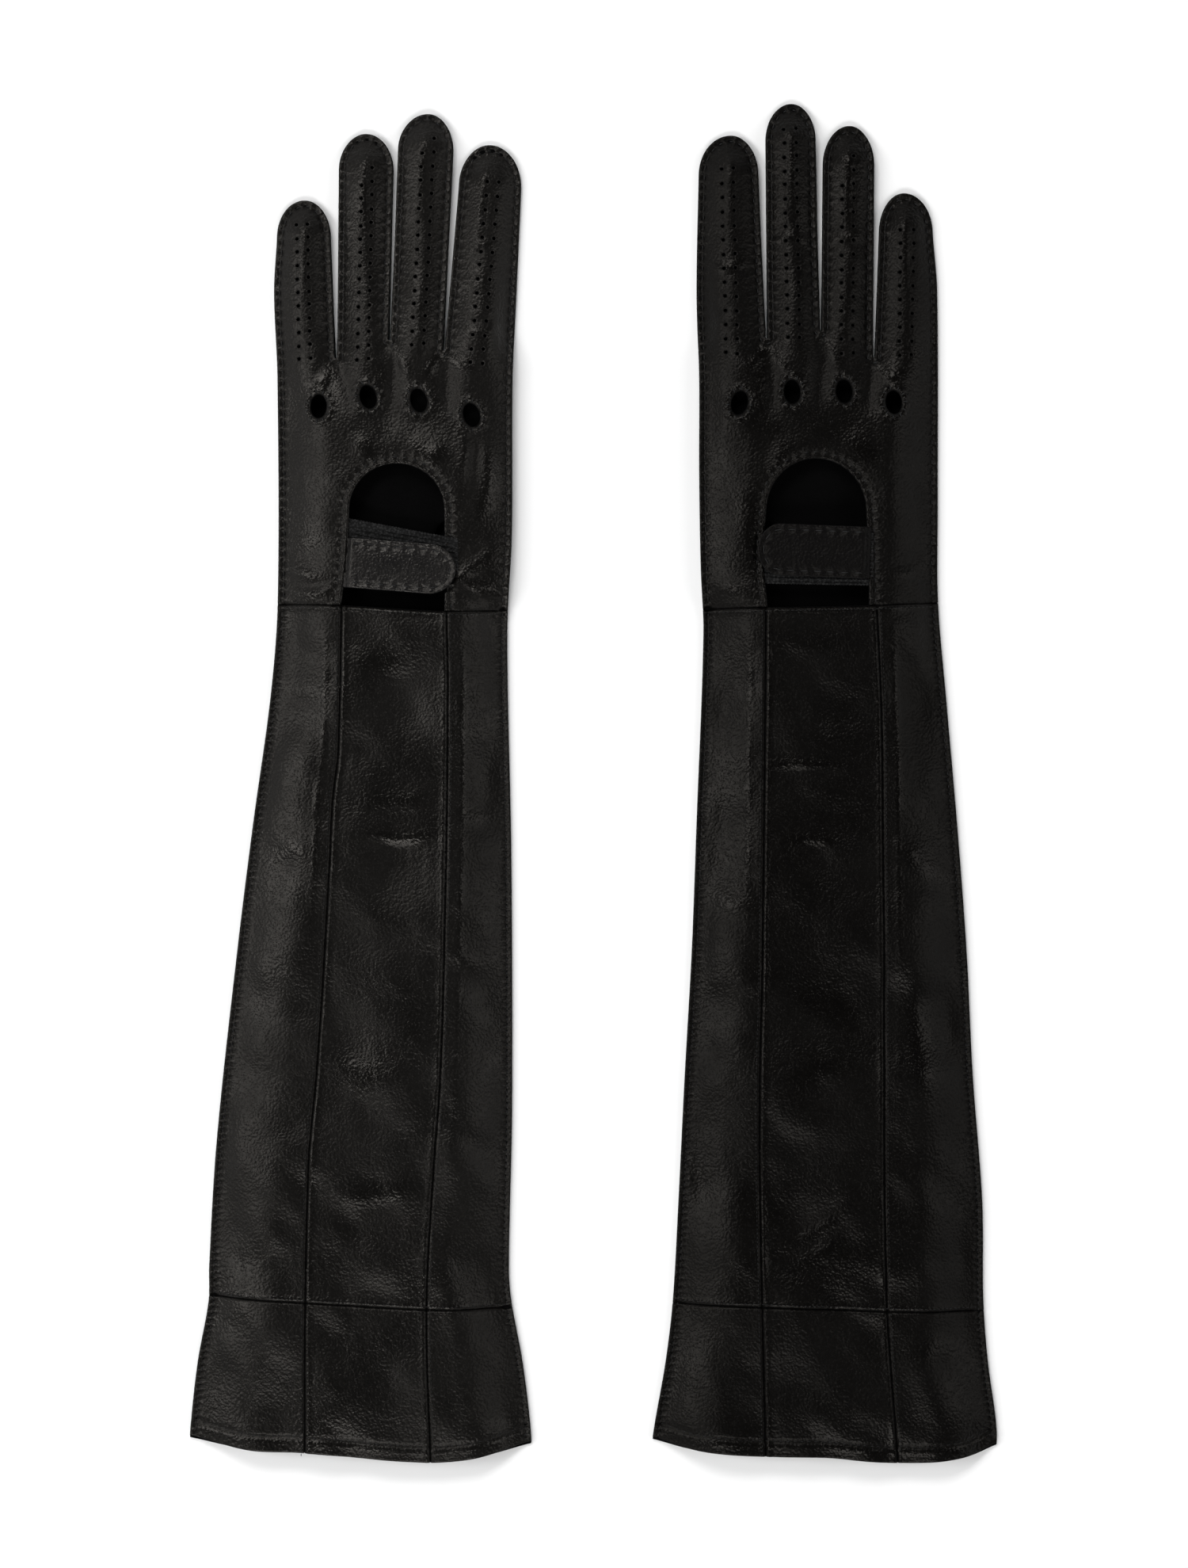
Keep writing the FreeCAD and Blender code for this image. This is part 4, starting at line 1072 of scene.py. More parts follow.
def elastic_material(name):
    """Knitted face of the elastic, with fine gaps between its stitches."""
    material, tree, shader, place = new_material(name)
    knit = texture(tree, "Voronoi", place, 1050.0)
    knit.feature = "F1"
    gaps = knit.outputs["Distance"]
    fuzz = texture(tree, "Noise", place, 2200.0, detail=3.0)
    knitted = bump(tree, gaps, 0.8, 0.0003, invert=True)
    set_inputs(tree, shader, {
        "Base Color": ramp(tree, gaps, [(0.15, grey(0.022)), (0.6, grey(0.003))]),
        "Normal": bump(tree, fuzz.outputs["Fac"], 0.4, 0.0001, knitted),
        "Roughness": 0.85,
        "Specular IOR Level": 0.2,
    })
    return material


def metal_material(name):
    """Black enamelled metal, worn at its high spots."""
    material, tree, shader, place = new_material(name)
    scuff = texture(tree, "Noise", place, 700.0, detail=5.0).outputs["Fac"]
    set_inputs(tree, shader, {
        "Base Color": ramp(tree, scuff, [(0.45, grey(0.012)), (0.75, grey(0.05))]),
        "Roughness": span(tree, scuff, 0.0, 1.0, 0.25, 0.5),
        "Metallic": 0.6,
    })
    return material


def floor_material(name):
    material, tree, shader, _ = new_material(name)
    set_inputs(tree, shader, {
        "Base Color": (0.93, 0.93, 0.93, 1.0),
        "Roughness": 0.9,
        "Specular IOR Level": 0.1,
    })
    return material


# Name, dark and light colours, low and high roughness, depth of the grain, sheen
GRAIN = leather_material(
    "black_nappa", (0.0005, 0.0004, 0.0004), (0.0026, 0.0024, 0.0022), 0.27, 0.45, 1.6, 0.20)
# Painted shade: the right glove's leather is a darker copy of the left's, with less sheen, standing in for
# the weaker light on the right glove
GRAIN_RIGHT_PAINTED_SHADE = leather_material(
    "black_nappa_right", (0.0004, 0.0003, 0.0003), (0.0016, 0.0014, 0.0013), 0.27, 0.45, 1.6, 0.115)
PALM_GRAIN = leather_material(
    "black_nappa_palm", (0.0008, 0.0007, 0.0010), (0.0034, 0.0032, 0.0034), 0.36, 0.54, 1.5, 0.25)
GUSSET = leather_material(
    "black_nappa_gusset", (0.0006, 0.0006, 0.0008), (0.0024, 0.0024, 0.0026), 0.45, 0.62, 1.4, 0.2)
# Painted shade: the right strap is a darker, duller copy of the left strap's leather
STRAP_RIGHT_PAINTED_SHADE = leather_material(
    "black_nappa_strap_right", (0.0005, 0.0004, 0.0006), (0.0016, 0.0014, 0.0016), 0.38, 0.54, 1.6, 0.10)
# Painted highlight: the left strap is a paler, glossier copy of the leather, standing in for the light it
# catches
STRAP_PAINTED_HIGHLIGHT = leather_material(
    "black_nappa_strap", (0.0012, 0.0011, 0.0014), (0.0060, 0.0057, 0.0059), 0.28, 0.44, 1.6, 0.30)
CUT_EDGE = suede_material("cut_edge", (0.002, 0.002, 0.002), (0.007, 0.0068, 0.007))
FLESH = suede_material("flesh_side", (0.0005, 0.0005, 0.0005), (0.0014, 0.0013, 0.0014))
THREAD = thread_material("black_thread", (0.0015, 0.0015, 0.0017), (0.006, 0.006, 0.0062))
ELASTIC = elastic_material("black_elastic")
METAL = metal_material("black_snap_metal")


# ---------------------------------------------------------------- pieces

def rows_of(path_at, offsets, step=EDGE_STEP, closed=False):
    """Rows of mesh points along the paths that a function gives for some offsets."""
    return [resample(path_at(offset), step, closed) for offset in offsets]


def prepare_relief(glove):
    """Everything that shapes the outer face of the back: seams, stitches, creases and holes."""
    data = glove.data
    add = glove.relief.append
    add(stitched(Track(glove.hand_path(OUTSEAM_INSET)), OUTSEAM_PITCH, 0.65, 0.6, 0.3))
    add(stitched(Track(glove.keyhole_path(KEYHOLE_STITCH_OFFSET)), OUTSEAM_PITCH, 0.65, 0.6, 0.5))
    for knuckle in data["knuckles"]:
        add(whipped(Track(glove.knuckle_path(knuckle), closed=True), KNUCKLE_STITCHES))
    for centre in glove.perforations():
        add(dimpled(centre, PERFORATION_RADIUS, 0.12, 0.3))
    for points, height, width in data["creases"]:
        add(creased(points, CREASE_DEPTH * height, width))
    for number, finger in enumerate(data["fingers"]):
        low_hole = data["perforations"][2 * number][1]
        high_hole = data["perforations"][2 * number + 1][1]
        foot = ((low_hole[0] + high_hole[0]) / 2, finger["tip"][1] - 42.0)
        tip = (finger["tip"][0] + 0.6, finger["tip"][1] - 3.0)
        middle = ((foot[0] + tip[0]) / 2, (foot[1] + tip[1]) / 2 + 6)
        add(creased([foot, middle, tip], 0.45, 1.8))
    for line, sign in ((glove.low_edge, 1), (glove.high_edge, -1)):
        side = Track(glove.side_path(line, sign * SIDE_INSET, *SIDE_SEAM))
        add(stitched(side, SIDE_PITCH, 1.0, 0.75, 0.6))
    low, high = glove.low_edge(0), glove.high_edge(0)
    wrist = Track(glove.cross_path(glove.wrist_seam, 0.0, low - 4, high + 4))
    add(sewn(wrist, 0.55, 0.36, 0.35, -1.3, 0.8))
    cuff = Track(glove.cross_path(glove.cuff_seam, 0.0, low - 30, high + 30))
    add(sewn(cuff, 0.65, 0.38, 0.35, 1.4, 0.8))
    hem = Track(glove.cross_path(glove.hem, HEM_DEPTH, low - SLEEVE_FLARE, high + SLEEVE_FLARE))
    add(sewn(hem, 0.5, 0.6, 0.3, -1.8, 1.3))
    low_seam = Track(glove.side_path(glove.low_seam, 0.0, -258.0, 68.0))
    high_seam = Track(glove.side_path(glove.high_seam, 0.0, -258.0, 66.0))
    add(sewn(low_seam, 0.65, 0.38, 0.4, -1.4, 0.7))
    add(sewn(high_seam, 0.65, 0.38, 0.4, 1.4, 0.7))
    add(allowance(low_seam, 5.8, 0.6, 0.9, (-70, -10), (40, 66)))
    add(allowance(high_seam, -5.8, 0.6, 0.9, (-200, 0), (40, 66)))


def build_back_of_hand(glove):
    knuckles = glove.data["knuckles"]
    centres = glove.perforations()
    holes = [glove.knuckle_path(knuckle) for knuckle in knuckles]
    holes += [ring_of(centre, PERFORATION_RADIUS, PERFORATION_CORNERS) for centre in centres]
    rows = rows_of(glove.hand_path, (0.55, 1.1, 1.6, 2.0, 2.4, 3.0, 3.7))
    rows += rows_of(glove.keyhole_path, (0.5, 1.1, 1.7, 2.3, 2.9, 3.6))
    for knuckle in knuckles:
        rows += [resample(glove.knuckle_path(knuckle, offset), 0.55, closed=True)
                 for offset in (0.45, 0.95, 1.5, 2.1, 2.8)]
    rows += [ring_of(centre, PERFORATION_RIM, PERFORATION_CORNERS) for centre in centres]
    piece = leather_sheet(glove.name + "_back_of_hand", glove.back_outline(), holes, rows,
                          glove.back_top, glove.grain)
    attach(piece, glove.body)
    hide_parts(glove.name + "_hand_back")

    thread = running(glove.hand_path(OUTSEAM_INSET, 2.0), OUTSEAM_PITCH, 0.5, seed=1)
    piece = thread_piece(glove.name + "_outseam_thread", thread, glove.back_top, 0.24, 0.22)
    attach(piece, glove.body)
    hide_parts(glove.name + "_outseam_stitching")

    thread = running(glove.keyhole_path(KEYHOLE_STITCH_OFFSET), OUTSEAM_PITCH, 0.5, seed=2)
    piece = thread_piece(glove.name + "_keyhole_thread", thread, glove.back_top, 0.22, 0.2)
    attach(piece, glove.body)
    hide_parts(glove.name + "_keyhole_stitching")

    whips = []
    for knuckle in knuckles:
        inner = resample(glove.knuckle_path(knuckle, 0.15), 0.1, closed=True)
        outer = resample(glove.knuckle_path(knuckle, 2.0), 0.1, closed=True)
        for index in range(KNUCKLE_STITCHES):
            share = (index + 0.12 * noise(index * 2.1, knuckle[0])) / KNUCKLE_STITCHES
            start = inner[int(share * len(inner)) % len(inner)]
            whips.append((start, outer[int(share * len(outer)) % len(outer)]))
    piece = thread_piece(glove.name + "_knuckle_thread", whips, glove.back_top, 0.24, 0.28)
    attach(piece, glove.body)
    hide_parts(glove.name + "_knuckle_stitching")


def build_keyhole_roll(glove):
    """Rolled edge of the keyhole, as a soft tube that follows the leather."""
    path = resample(glove.keyhole_path(0.15), 0.7)
    outward = left_of(path)
    height, _ = glove.back_top(*(path + outward * 0.9).T)
    sides = 12
    angle = np.linspace(0, 2 * math.pi, sides, endpoint=False)
    along = arc_length(path)
    puckers = 0.07 * np.cos(2 * math.pi * along / OUTSEAM_PITCH)
    wave = 1.0 + puckers + 0.05 * noise(along / 3.0, along * 0 + 2.0)
    vertices = np.empty((len(path), sides, 3))
    for side in range(sides):
        out = 0.55 + ROLL_WIDTH / 2 * math.cos(angle[side]) * wave
        vertices[:, side, 0] = path[:, 0] + outward[:, 0] * out
        vertices[:, side, 1] = path[:, 1] + outward[:, 1] * out
        vertices[:, side, 2] = height - 0.35 + ROLL_HALF_HEIGHT * math.sin(angle[side]) * wave
    faces = [tuple(reversed(face)) for face in tube_faces(len(path), sides)]
    # Painted highlight: the roll gets a paler colour than flat leather, paler still at its puckers
    painted_relief_light = np.repeat(0.15 + 0.1 * wave, sides)
    piece = make_object(glove.name + "_keyhole_roll", vertices.reshape(-1, 3), faces,
                        [glove.grain], None, painted_relief_light)
    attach(piece, glove.body)
    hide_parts(glove.name + "_keyhole_binding")


def marked(marks, height):
    """Outer face of an under side: its height without relief, with the marks pressed into it."""
    def outer(x, y):
        change = np.zeros(len(x))
        for mark in marks:
            mark(x, y, change)
        return height(x, y) - change, change
    return outer


def build_palm_of_hand(glove):
    hole = ring_of(glove.data["thumb_hinge"], THUMB_HOLE_RADIUS, THUMB_HOLE_CORNERS)
    rows = rows_of(glove.hand_path, (0.6, 1.3, 2.0, 2.7), ROW_STEP)
    outseam = Track(glove.hand_path(OUTSEAM_INSET))
    outer = marked([stitched(outseam, OUTSEAM_PITCH, 0.35, 0.7)], glove.palm_under)
    piece = leather_sheet(glove.name + "_palm_of_hand", glove.palm_outline(), [hole], rows, outer,
                          PALM_GRAIN, face_up=False, step=1.8)
    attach(piece, glove.body)
    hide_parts(glove.name + "_hand_palm")
    thread = running(glove.hand_path(OUTSEAM_INSET, 2.0), OUTSEAM_PITCH, 0.42, start=0.0, seed=4)
    piece = thread_piece(glove.name + "_palm_outseam_thread", thread, outer, 0.2, 0.02, below=True)
    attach(piece, glove.body)


def gusset_path(glove, number):
    """Line of a gusset: down one finger, round the crotch and up the next."""
    fingers = glove.data["fingers"]
    whole = glove.finger_runs(0.9)
    between = (whole[:, 0] > fingers[number]["tip"][0]) & (whole[:, 0] < fingers[number + 1]["tip"][0])
    low_top = fingers[number]["tip"][1] - 8.0
    high_top = fingers[number + 1]["tip"][1] - 8.0
    limit = np.where(whole[:, 0] < glove.data["crotches"][number][0], low_top, high_top)
    return resample(whole[between & (whole[:, 1] < limit)], 0.9)


def build_fourchettes(glove):
    """Folded gussets between the fingers, bowed inwards."""
    names = ["pinky", "ring", "middle", "index"]
    if glove.data["thumb_side"] < 0:
        names.reverse()
    for number in range(3):
        path = gusset_path(glove, number)
        inward = -left_of(path)
        top = glove.back_height(path[:, 0], path[:, 1]) - 0.05
        bottom = glove.palm_lift(path[:, 0], path[:, 1]) + LEATHER + 0.05
        ripple = 1.0 + 0.25 * noise(arc_length(path) / 3.0, np.full(len(path), number + 5.0))
        outer, inner = [], []
        for share in np.linspace(0.0, 1.0, 8):
            z = bottom + (top - bottom) * share
            deep = 1.5 * np.sin(math.pi * share) * ripple
            outer.append(np.column_stack([path + inward * deep[:, None], z]))
            inner.append(np.column_stack([path + inward * (deep + 0.6)[:, None], z]))
        ring = np.stack(outer + inner[::-1], axis=1)
        faces = [tuple(reversed(face)) for face in tube_faces(len(path), ring.shape[1])]
        vertices = ring.reshape(-1, 3)
        between = names[number] + "_" + names[number + 1]
        piece = make_object(glove.name + "_gusset_" + between, vertices, faces, [GUSSET], None,
                            np.zeros(len(vertices)))
        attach(piece, glove.body)
        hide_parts(glove.name + "_fourchette_" + between)


def build_elastic(glove):
    """Ribbed elastic band behind the strap, tucked under both sides of the keyhole."""
    (x0, y0), (x1, y1) = glove.data["elastic_top"]
    slope = (y1 - y0) / (x1 - x0)
    columns = np.linspace(x0 - ELASTIC_TUCK, x1 + ELASTIC_TUCK, 150)
    u, v = np.meshgrid(columns, np.linspace(0.0, 1.0, 90), indexing="ij")
    y = y0 + slope * (u - x0) - v * ELASTIC_HEIGHT
    base = glove.back_height(u.ravel(), y.ravel()).reshape(u.shape) - SEWN_GAP - ELASTIC_THICKNESS
    knots = np.sin(2 * math.pi * u / 1.1)
    rib = 0.28 * np.sin(2 * math.pi * v * ELASTIC_HEIGHT / 1.6) + 0.07 * knots
    edge = np.minimum(v, 1.0 - v) * ELASTIC_HEIGHT
    round_off = 0.3 * (1.0 - smooth(0.0, 0.8, edge))
    top = base + ELASTIC_THICKNESS - 0.2 + rib - round_off
    under = base + 0.15 + round_off + 0.6 * rib
    y = y + 0.12 * knots * (1.0 - smooth(0.0, 0.6, edge))
    vertices = np.vstack([
        np.column_stack([u.ravel(), y.ravel(), top.ravel()]),
        np.column_stack([u.ravel(), y.ravel(), under.ravel()]),
    ])
    count = u.size
    rows, cells = u.shape
    faces = []
    for i in range(rows - 1):
        for j in range(cells - 1):
            a = i * cells + j
            b = a + cells
            faces.append((a, a + 1, b + 1, b))
            faces.append((a + count, b + count, b + 1 + count, a + 1 + count))
    border = [i * cells for i in range(rows)]
    border += [(rows - 1) * cells + j for j in range(1, cells)]
    border += [i * cells + cells - 1 for i in range(rows - 2, -1, -1)]
    border += list(range(cells - 2, 0, -1))
    for a, b in zip(border, border[1:] + border[:1]):
        faces.append((a, b, b + count, a + count))
    piece = make_object(glove.name + "_elastic_band", vertices, faces, [ELASTIC])
    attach(piece, glove.body)
    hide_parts(glove.name + "_wrist_elastic")


def strap_outline(strap, inset=0.0):
    """Outline of a strap that lies along x from its root, with a tail behind the root."""
    half = strap["width"] / 2 - inset
    start = strap["length"] - strap["rounding"]
    end = quarter((start, 0.0), (strap["rounding"] - inset, half), -90, 90, 40)
    return np.vstack([[(-STRAP_TAIL, -half)], end, [(-STRAP_TAIL, half)]])


def place_strap(glove, piece):
    """Turns a strap piece into place and bends it at its root."""
    strap = glove.data["strap"]
    coordinates = np.empty(len(piece.data.vertices) * 3)
    piece.data.vertices.foreach_get("co", coordinates)
    coordinates = coordinates.reshape(-1, 3)
    x, y = turned(strap["root"], strap["direction"], *(coordinates[:, :2] * PER_METRE).T)
    coordinates[:, 0] = x / PER_METRE
    coordinates[:, 1] = y / PER_METRE
    piece.data.vertices.foreach_set("co", coordinates.ravel())
    piece.data.update()
    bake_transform(piece)


def build_strap(glove):
    """Strap over the keyhole. It dips at its root, where it goes in under the rolled edge."""
    strap = glove.data["strap"]
    half = strap["width"] / 2
    path = strap_outline(strap, STRAP_STITCH_INSET)[1:-1]
    path = np.vstack([[(0.5, path[0][1])], path, [(0.5, path[-1][1])]])
    across = glove.data["thumb_side"]
    marks = [
        stitched(Track(path), STRAP_STITCH_PITCH, 0.6, 0.6, 0.32),
        creased([(8, -6 * across), (20, 3), (30, -2)], 0.25, 3.5),
        creased([(5, 5), (16, 0), (22, -6)], 0.2, 3.0),
    ]

    def base(x, y):
        crown = 0.35 * (1.0 - (y / half) ** 2)
        dip = 2.5 * (1.0 - smooth(-1.2, 1.1, x))
        return STRAP_UNDERSIDE - dip + 0.22 * crown + 0.12 * noise(x / 8, y / 8, glove.seed)

    def top(x, y):
        change = np.zeros(len(x))
        for mark in marks:
            mark(x, y, change)
        border = np.minimum(half - np.abs(y), strap["length"] - x)
        change += 0.22 * bell(border - 0.55, 0.5)
        grain = 0.05 * noise(x / 2.0, y / 2.4, glove.seed + 9)
        return base(x, y) + STRAP_THICKNESS + change + grain, change

    def lining(x, y):
        return base(x, y), np.zeros(len(x))

    rows = rows_of(lambda inset: strap_outline(strap, inset), (0.4, 0.9, 1.5, 2.0, 2.5, 3.1))
    rows += rows_of(lambda x: [(x, -half), (x, half)], (-0.8, -0.3, 0.2, 0.7, 1.2))
    outer = leather_sheet(glove.name + "_strap_leather", strap_outline(strap), [], rows, top,
                          glove.strap_painted_light_and_shade, thickness=0.85, step=1.1)
    place_strap(glove, outer)
    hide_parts(glove.name + "_strap_outer")
    inner = leather_sheet(glove.name + "_strap_backing", strap_outline(strap, 0.25), [], [], lining,
                          PALM_GRAIN, thickness=0.5, face_up=False, step=1.6)
    place_strap(glove, inner)
    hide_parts(glove.name + "_strap_lining")
    stitches = running(path, STRAP_STITCH_PITCH, 0.62, seed=7)
    thread = thread_piece(glove.name + "_strap_thread", stitches, top, 0.24, 0.2)
    place_strap(glove, thread)
    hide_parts(glove.name + "_strap_stitching")


def thumb_outline(inset=0.0):
    """Outline of the thumb, pointing up y from its hinge."""
    shoulder = THUMB_LENGTH - THUMB_TIP_LENGTH
    tip = quarter((0.0, shoulder), (THUMB_HALF_WIDTH - inset, THUMB_TIP_LENGTH - inset), 0, 180, 50)
    base = quarter((0.0, 0.0), (THUMB_BASE_RADIUS - inset, THUMB_BASE_RADIUS - inset), 180, 360, 50)
    return np.vstack([tip, base])


def thumb_edge_distance(x, y):
    shoulder = THUMB_LENGTH - THUMB_TIP_LENGTH
    share = clamp((y - shoulder) / THUMB_TIP_LENGTH)
    at_tip = THUMB_HALF_WIDTH * np.sqrt(1.0 - share**2)
    at_base = np.sqrt(np.maximum(0.0, THUMB_BASE_RADIUS**2 - y**2))
    between = THUMB_BASE_RADIUS + (THUMB_HALF_WIDTH - THUMB_BASE_RADIUS) * y / shoulder
    half_width = np.where(y > shoulder, at_tip, np.where(y < 0.0, at_base, between))
    return np.minimum(np.minimum(half_width - np.abs(x), THUMB_LENGTH - y), y + THUMB_BASE_RADIUS)


def build_thumb(glove):
    """Flat thumb folded under the palm, two halves sewn edge to edge."""
    seat = LEATHER + SEWN_GAP
    path = resample(thumb_outline(OUTSEAM_INSET), 0.5, closed=True)
    dent = stitched(Track(path, closed=True), OUTSEAM_PITCH, 0.3, 0.7)

    def upper(x, y):
        change = np.zeros(len(x))
        dent(x, y, change)
        rise = climb((thumb_edge_distance(x, y) - 1.2) / 4.5)
        return seat + LEATHER + (THUMB_HEIGHT - LEATHER - seat) * rise + change * 0.6, change

    def lower(x, y):
        change = np.zeros(len(x))
        dent(x, y, change)
        wave = 0.1 * (1.0 + noise(x / 6, y / 8, 5))
        return wave * smooth(2.0, 8.0, thumb_edge_distance(x, y)) - change * 0.5, change

    def placed(piece):
        piece.rotation_euler = (0.0, 0.0, math.radians(THUMB_LEAN * glove.data["thumb_side"]))
        piece.location = (*(value / PER_METRE for value in glove.data["thumb_hinge"]), 0.0)
        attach(piece, glove.name + "_thumb")

    rows = rows_of(thumb_outline, (0.6, 1.3, 2.0, 2.7), closed=True)
    hole = ring_of((0.0, 0.0), THUMB_HOLE_RADIUS, THUMB_HOLE_CORNERS)
    top = leather_sheet(glove.name + "_thumb_inner_half", thumb_outline(), [hole], rows, upper,
                        PALM_GRAIN, step=1.5)
    placed(top)
    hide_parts(glove.name + "_thumb_upper")
    under = leather_sheet(glove.name + "_thumb_outer_half", thumb_outline(), [], rows, lower,
                          PALM_GRAIN, face_up=False, step=1.5)
    placed(under)
    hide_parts(glove.name + "_thumb_lower")
    stitches = running(path, OUTSEAM_PITCH, 0.5, closed=True, seed=6)
    placed(thread_piece(glove.name + "_thumb_thread", stitches, upper, 0.2, 0.12))
    placed(thread_piece(glove.name + "_thumb_under_thread", stitches, lower, 0.18, 0.02, below=True))


def sleeve_bands(glove, hem_step):
    """The two lengths of the sleeve, each with the lines at its bottom and its top."""
    half_gap = SEWN_GAP / 2
    return (
        ("sleeve", shifted(glove.cuff_seam, half_gap), shifted(glove.wrist_seam, -half_gap)),
        ("cuff", shifted(glove.hem, hem_step), shifted(glove.cuff_seam, -half_gap)),
    )


def side_rows(glove, line, offsets):
    return rows_of(lambda offset: glove.side_path(line, offset, -260.0, 70.0), offsets, ROW_STEP)


def edge_rows(glove, insets):
    outsets = [-inset for inset in insets]
    return side_rows(glove, glove.low_edge, insets) + side_rows(glove, glove.high_edge, outsets)


def cross_rows(glove, line, offsets):
    low, high = glove.low_edge(0) - SLEEVE_FLARE, glove.high_edge(0) + SLEEVE_FLARE
    return rows_of(lambda offset: glove.cross_path(line, offset, low, high), offsets, ROW_STEP)


def build_sleeve_back(glove):
    thumb_is_high = glove.data["thumb_side"] > 0
    low_side, high_side = ("pinky", "thumb") if thumb_is_high else ("thumb", "pinky")
    half_gap = SEWN_GAP / 2
    columns = (
        (low_side, glove.low_edge, shifted(glove.low_seam, -half_gap)),
        ("centre", shifted(glove.low_seam, half_gap), shifted(glove.high_seam, -half_gap)),
        (high_side, shifted(glove.high_seam, half_gap), glove.high_edge),
    )
    rows = edge_rows(glove, (0.6, 1.2, 1.8, 2.4, 3.1))
    for line in (glove.low_seam, glove.high_seam):
        rows += side_rows(glove, line, (-1.9, -1.2, -0.6, 0.6, 1.2, 1.9))
    rows += cross_rows(glove, glove.wrist_seam, (-0.6, -1.2, -2.0))
    rows += cross_rows(glove, glove.cuff_seam, (-1.2, -0.6, 0.6, 1.2, 2.0))
    rows += cross_rows(glove, glove.hem, (HEM_STEP + 0.6, HEM_DEPTH - 0.7, HEM_DEPTH, HEM_DEPTH + 0.7))
    for side, low_line, high_line in columns:
        for part, bottom_line, top_line in sleeve_bands(glove, HEM_STEP):
            outline = glove.panel_path(low_line, high_line, bottom_line, top_line)
            name = glove.name + "_" + part
            piece = leather_sheet(name + "_panel_" + side, outline, [], rows, glove.back_top, glove.grain)
            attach(piece, glove.body)
            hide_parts(name + "_back_" + side)


def build_sleeve_palm(glove):
    low, high = glove.low_edge(0) - SLEEVE_FLARE, glove.high_edge(0) + SLEEVE_FLARE
    sides = ((glove.low_edge, SIDE_INSET), (glove.high_edge, -SIDE_INSET))
    marks = [stitched(Track(glove.side_path(line, inset, *SIDE_SEAM)), SIDE_PITCH, 0.3, 0.6)
             for line, inset in sides]
    marks.append(sewn(Track(glove.cross_path(glove.cuff_seam, 0.0, low, high)), 0.5, 0.5, 0.0, 1.0, 1.0))
    outer = marked(marks, glove.palm_under)
    rows = edge_rows(glove, (0.7, 1.8, 2.9)) + cross_rows(glove, glove.cuff_seam, (-0.8, 0.8))
    for part, bottom_line, top_line in sleeve_bands(glove, 0.0):
        outline = glove.panel_path(glove.low_edge, glove.high_edge, bottom_line, top_line)
        name = glove.name + "_" + part
        piece = leather_sheet(name + "_underside", outline, [], rows, outer, PALM_GRAIN,
                              face_up=False, step=2.2)
        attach(piece, glove.body)
        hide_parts(name + "_palm")


def build_sleeve_thread(glove):
    bottom, top = SIDE_SEAM
    long_stitches = []
    for line, inset in ((glove.low_edge, SIDE_INSET), (glove.high_edge, -SIDE_INSET)):
        long_stitches += running(glove.side_path(line, inset, bottom, top - 1.0), SIDE_PITCH, 0.55, seed=8)
    fine_stitches = []
    for line, offset in ((glove.low_seam, -TOPSTITCH_OFFSET), (glove.high_seam, TOPSTITCH_OFFSET)):
        path = glove.side_path(line, offset, bottom - 6.0, top - 1.0)
        fine_stitches += running(path, TOPSTITCH_PITCH, 0.6, seed=9)
    # Seams across: the seam, stitches' distance from it, its level, gap at the sides, pitch, seed
    for line, offset, level, margin, pitch, seed in (
            (glove.wrist_seam, -TOPSTITCH_OFFSET, 66.0, 2.0, TOPSTITCH_PITCH, 10),
            (glove.cuff_seam, TOPSTITCH_OFFSET, -196.0, 2.0, TOPSTITCH_PITCH, 12),
            (glove.hem, HEM_DEPTH, -246.0, 2.5, HEM_PITCH, 13)):
        path = glove.cross_path(line, offset, glove.low_edge(level) + margin, glove.high_edge(level) - margin)
        fine_stitches += running(path, pitch, 0.6, seed=seed)
    piece = thread_piece(glove.name + "_sleeve_side_thread", long_stitches, glove.back_top, 0.25, 0.16)
    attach(piece, glove.body)
    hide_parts(glove.name + "_sleeve_stitching")
    piece = thread_piece(glove.name + "_topstitching", fine_stitches, glove.back_top, 0.14, 0.08)
    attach(piece, glove.body)


def dress_cad_nodes():
    """The press fasteners keep their CAD shape and get their metal."""
    for side in ("left", "right"):
        for node in ("_snap_stud", "_snap_socket"):
            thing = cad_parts[side + node]
            thing.data.materials.clear()
            thing.data.materials.append(METAL)


# Softboxes: name, place, size, power
SOFTBOXES = (
    ("key_top", (-0.6, 1.55, 2.05), (1.4, 0.7), 32.0),
    ("fill_bottom", (-0.3, -1.75, 1.8), (1.4, 0.7), 32.0),
    ("side_left", (-1.75, 0.1, 1.6), (0.7, 1.2), 21.0),
    ("side_right", (1.8, 0.0, 1.5), (0.7, 1.2), 9.0),
)


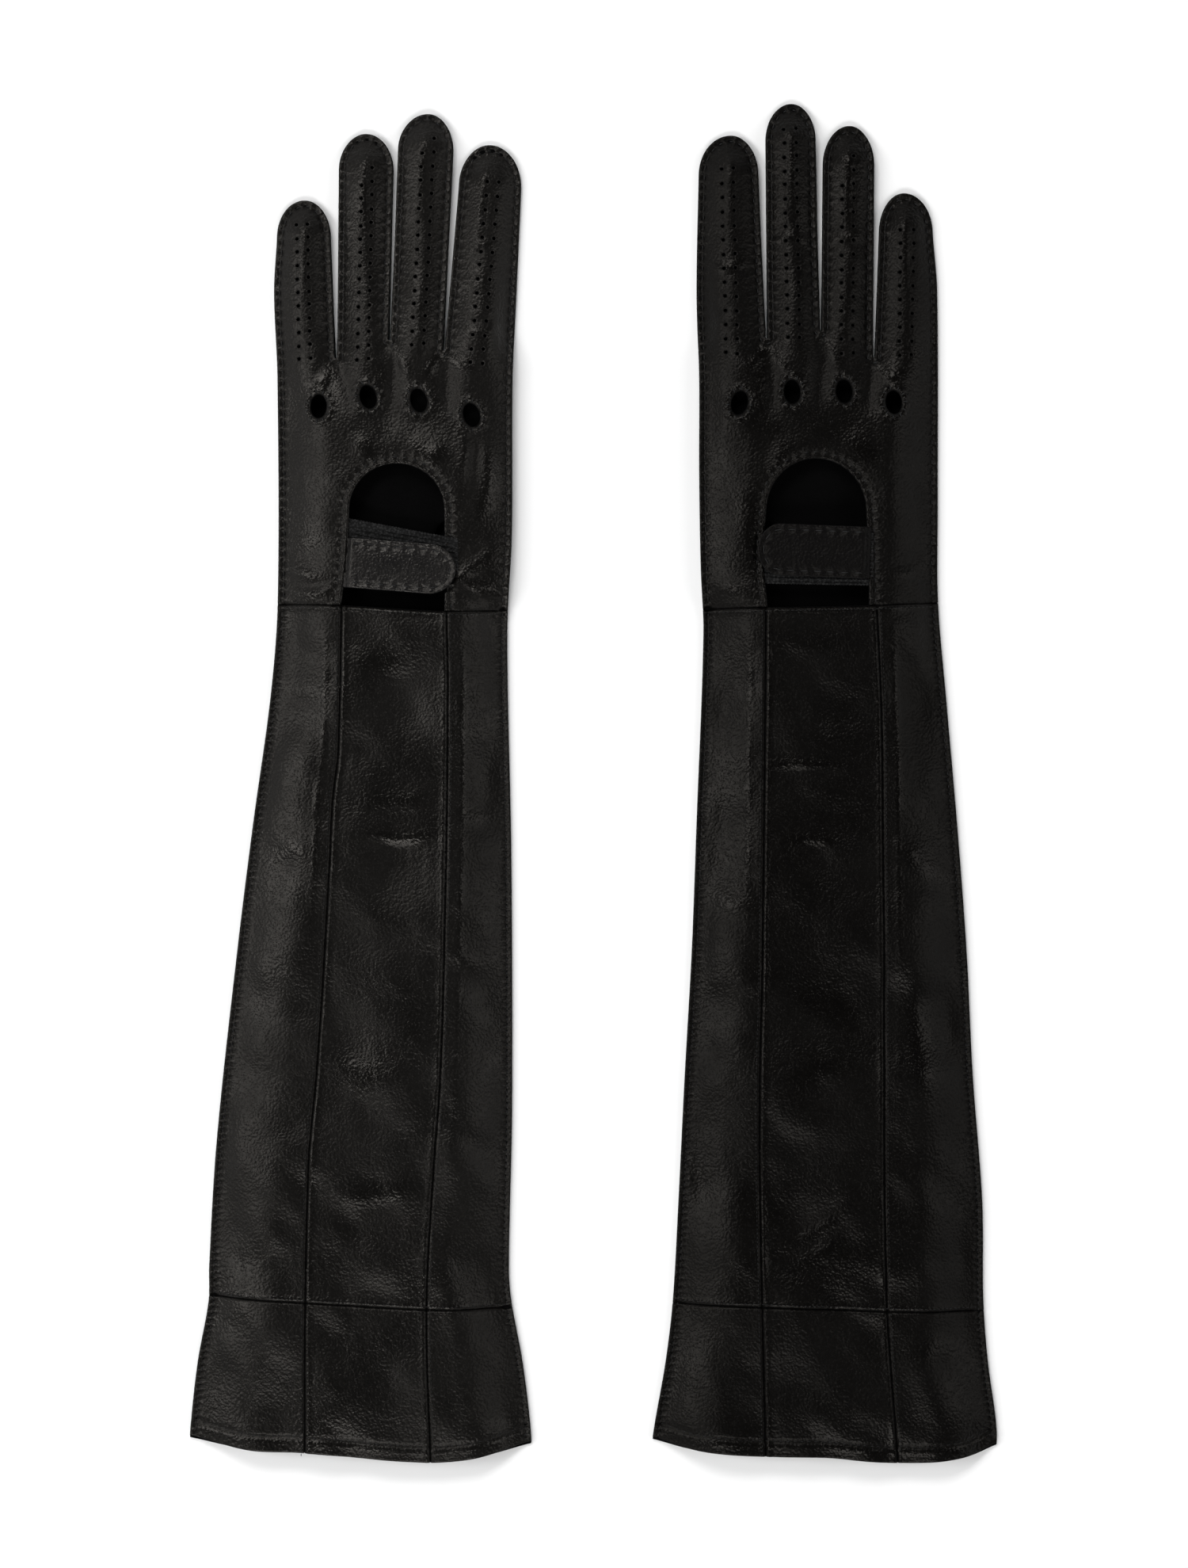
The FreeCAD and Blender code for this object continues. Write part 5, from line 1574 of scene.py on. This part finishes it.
def linked(name, data, place):
    thing = bpy.data.objects.new(name, data)
    thing.location = place
    bpy.context.scene.collection.objects.link(thing)
    return thing


def build_floor():
    floor = bpy.data.meshes.new("floor")
    reach = 30.0
    corners = [(-reach, -reach, 0.0), (reach, -reach, 0.0), (reach, reach, 0.0), (-reach, reach, 0.0)]
    floor.from_pydata(corners, [], [(0, 1, 2, 3)])
    floor.materials.append(floor_material("pale_floor"))
    linked("floor", floor, (0.0, 0.0, -0.0004))


def build_camera():
    camera = bpy.data.cameras.new("camera")
    camera.sensor_fit = "VERTICAL"
    camera.sensor_height = 36.0
    camera.sensor_width = 36.0
    camera.lens = 100.0
    camera.clip_end = 20.0
    bpy.context.scene.camera = linked("camera", camera, (0.00015, -0.0003, 1.652))


def build_lights():
    for name, place, size, power in SOFTBOXES:
        light = bpy.data.lights.new(name, "AREA")
        light.shape = "RECTANGLE"
        light.size, light.size_y = size
        light.energy = power
        lamp = linked(name, light, place)
        lamp.rotation_euler = (-Vector(place)).to_track_quat("-Z", "Y").to_euler()


def build_world():
    """Pale towards the horizon and dark overhead, so that low views have a pale background."""
    world = bpy.data.worlds.new("world")
    world.use_nodes = True
    tree = world.node_tree
    ray = add_node(tree, "ShaderNodeTexCoord", {}).outputs["Generated"]
    height = add_node(tree, "ShaderNodeSeparateXYZ", {"Vector": ray}).outputs["Z"]
    sky = ramp(tree, height, [(0.22, grey(0.9)), (0.5, grey(0.03))])
    set_inputs(tree, tree.nodes["Background"], {"Color": sky, "Strength": 1.0})
    bpy.context.scene.world = world
    bpy.context.scene.view_settings.view_transform = "Standard"


build_floor()
build_camera()
build_lights()
build_world()
for glove_data in (LEFT, RIGHT):
    glove = Glove(glove_data)
    prepare_relief(glove)
    build_back_of_hand(glove)
    build_keyhole_roll(glove)
    build_palm_of_hand(glove)
    build_fourchettes(glove)
    build_elastic(glove)
    build_strap(glove)
    build_thumb(glove)
    build_sleeve_back(glove)
    build_sleeve_palm(glove)
    build_sleeve_thread(glove)
dress_cad_nodes()

bpy.context.view_layer.update()
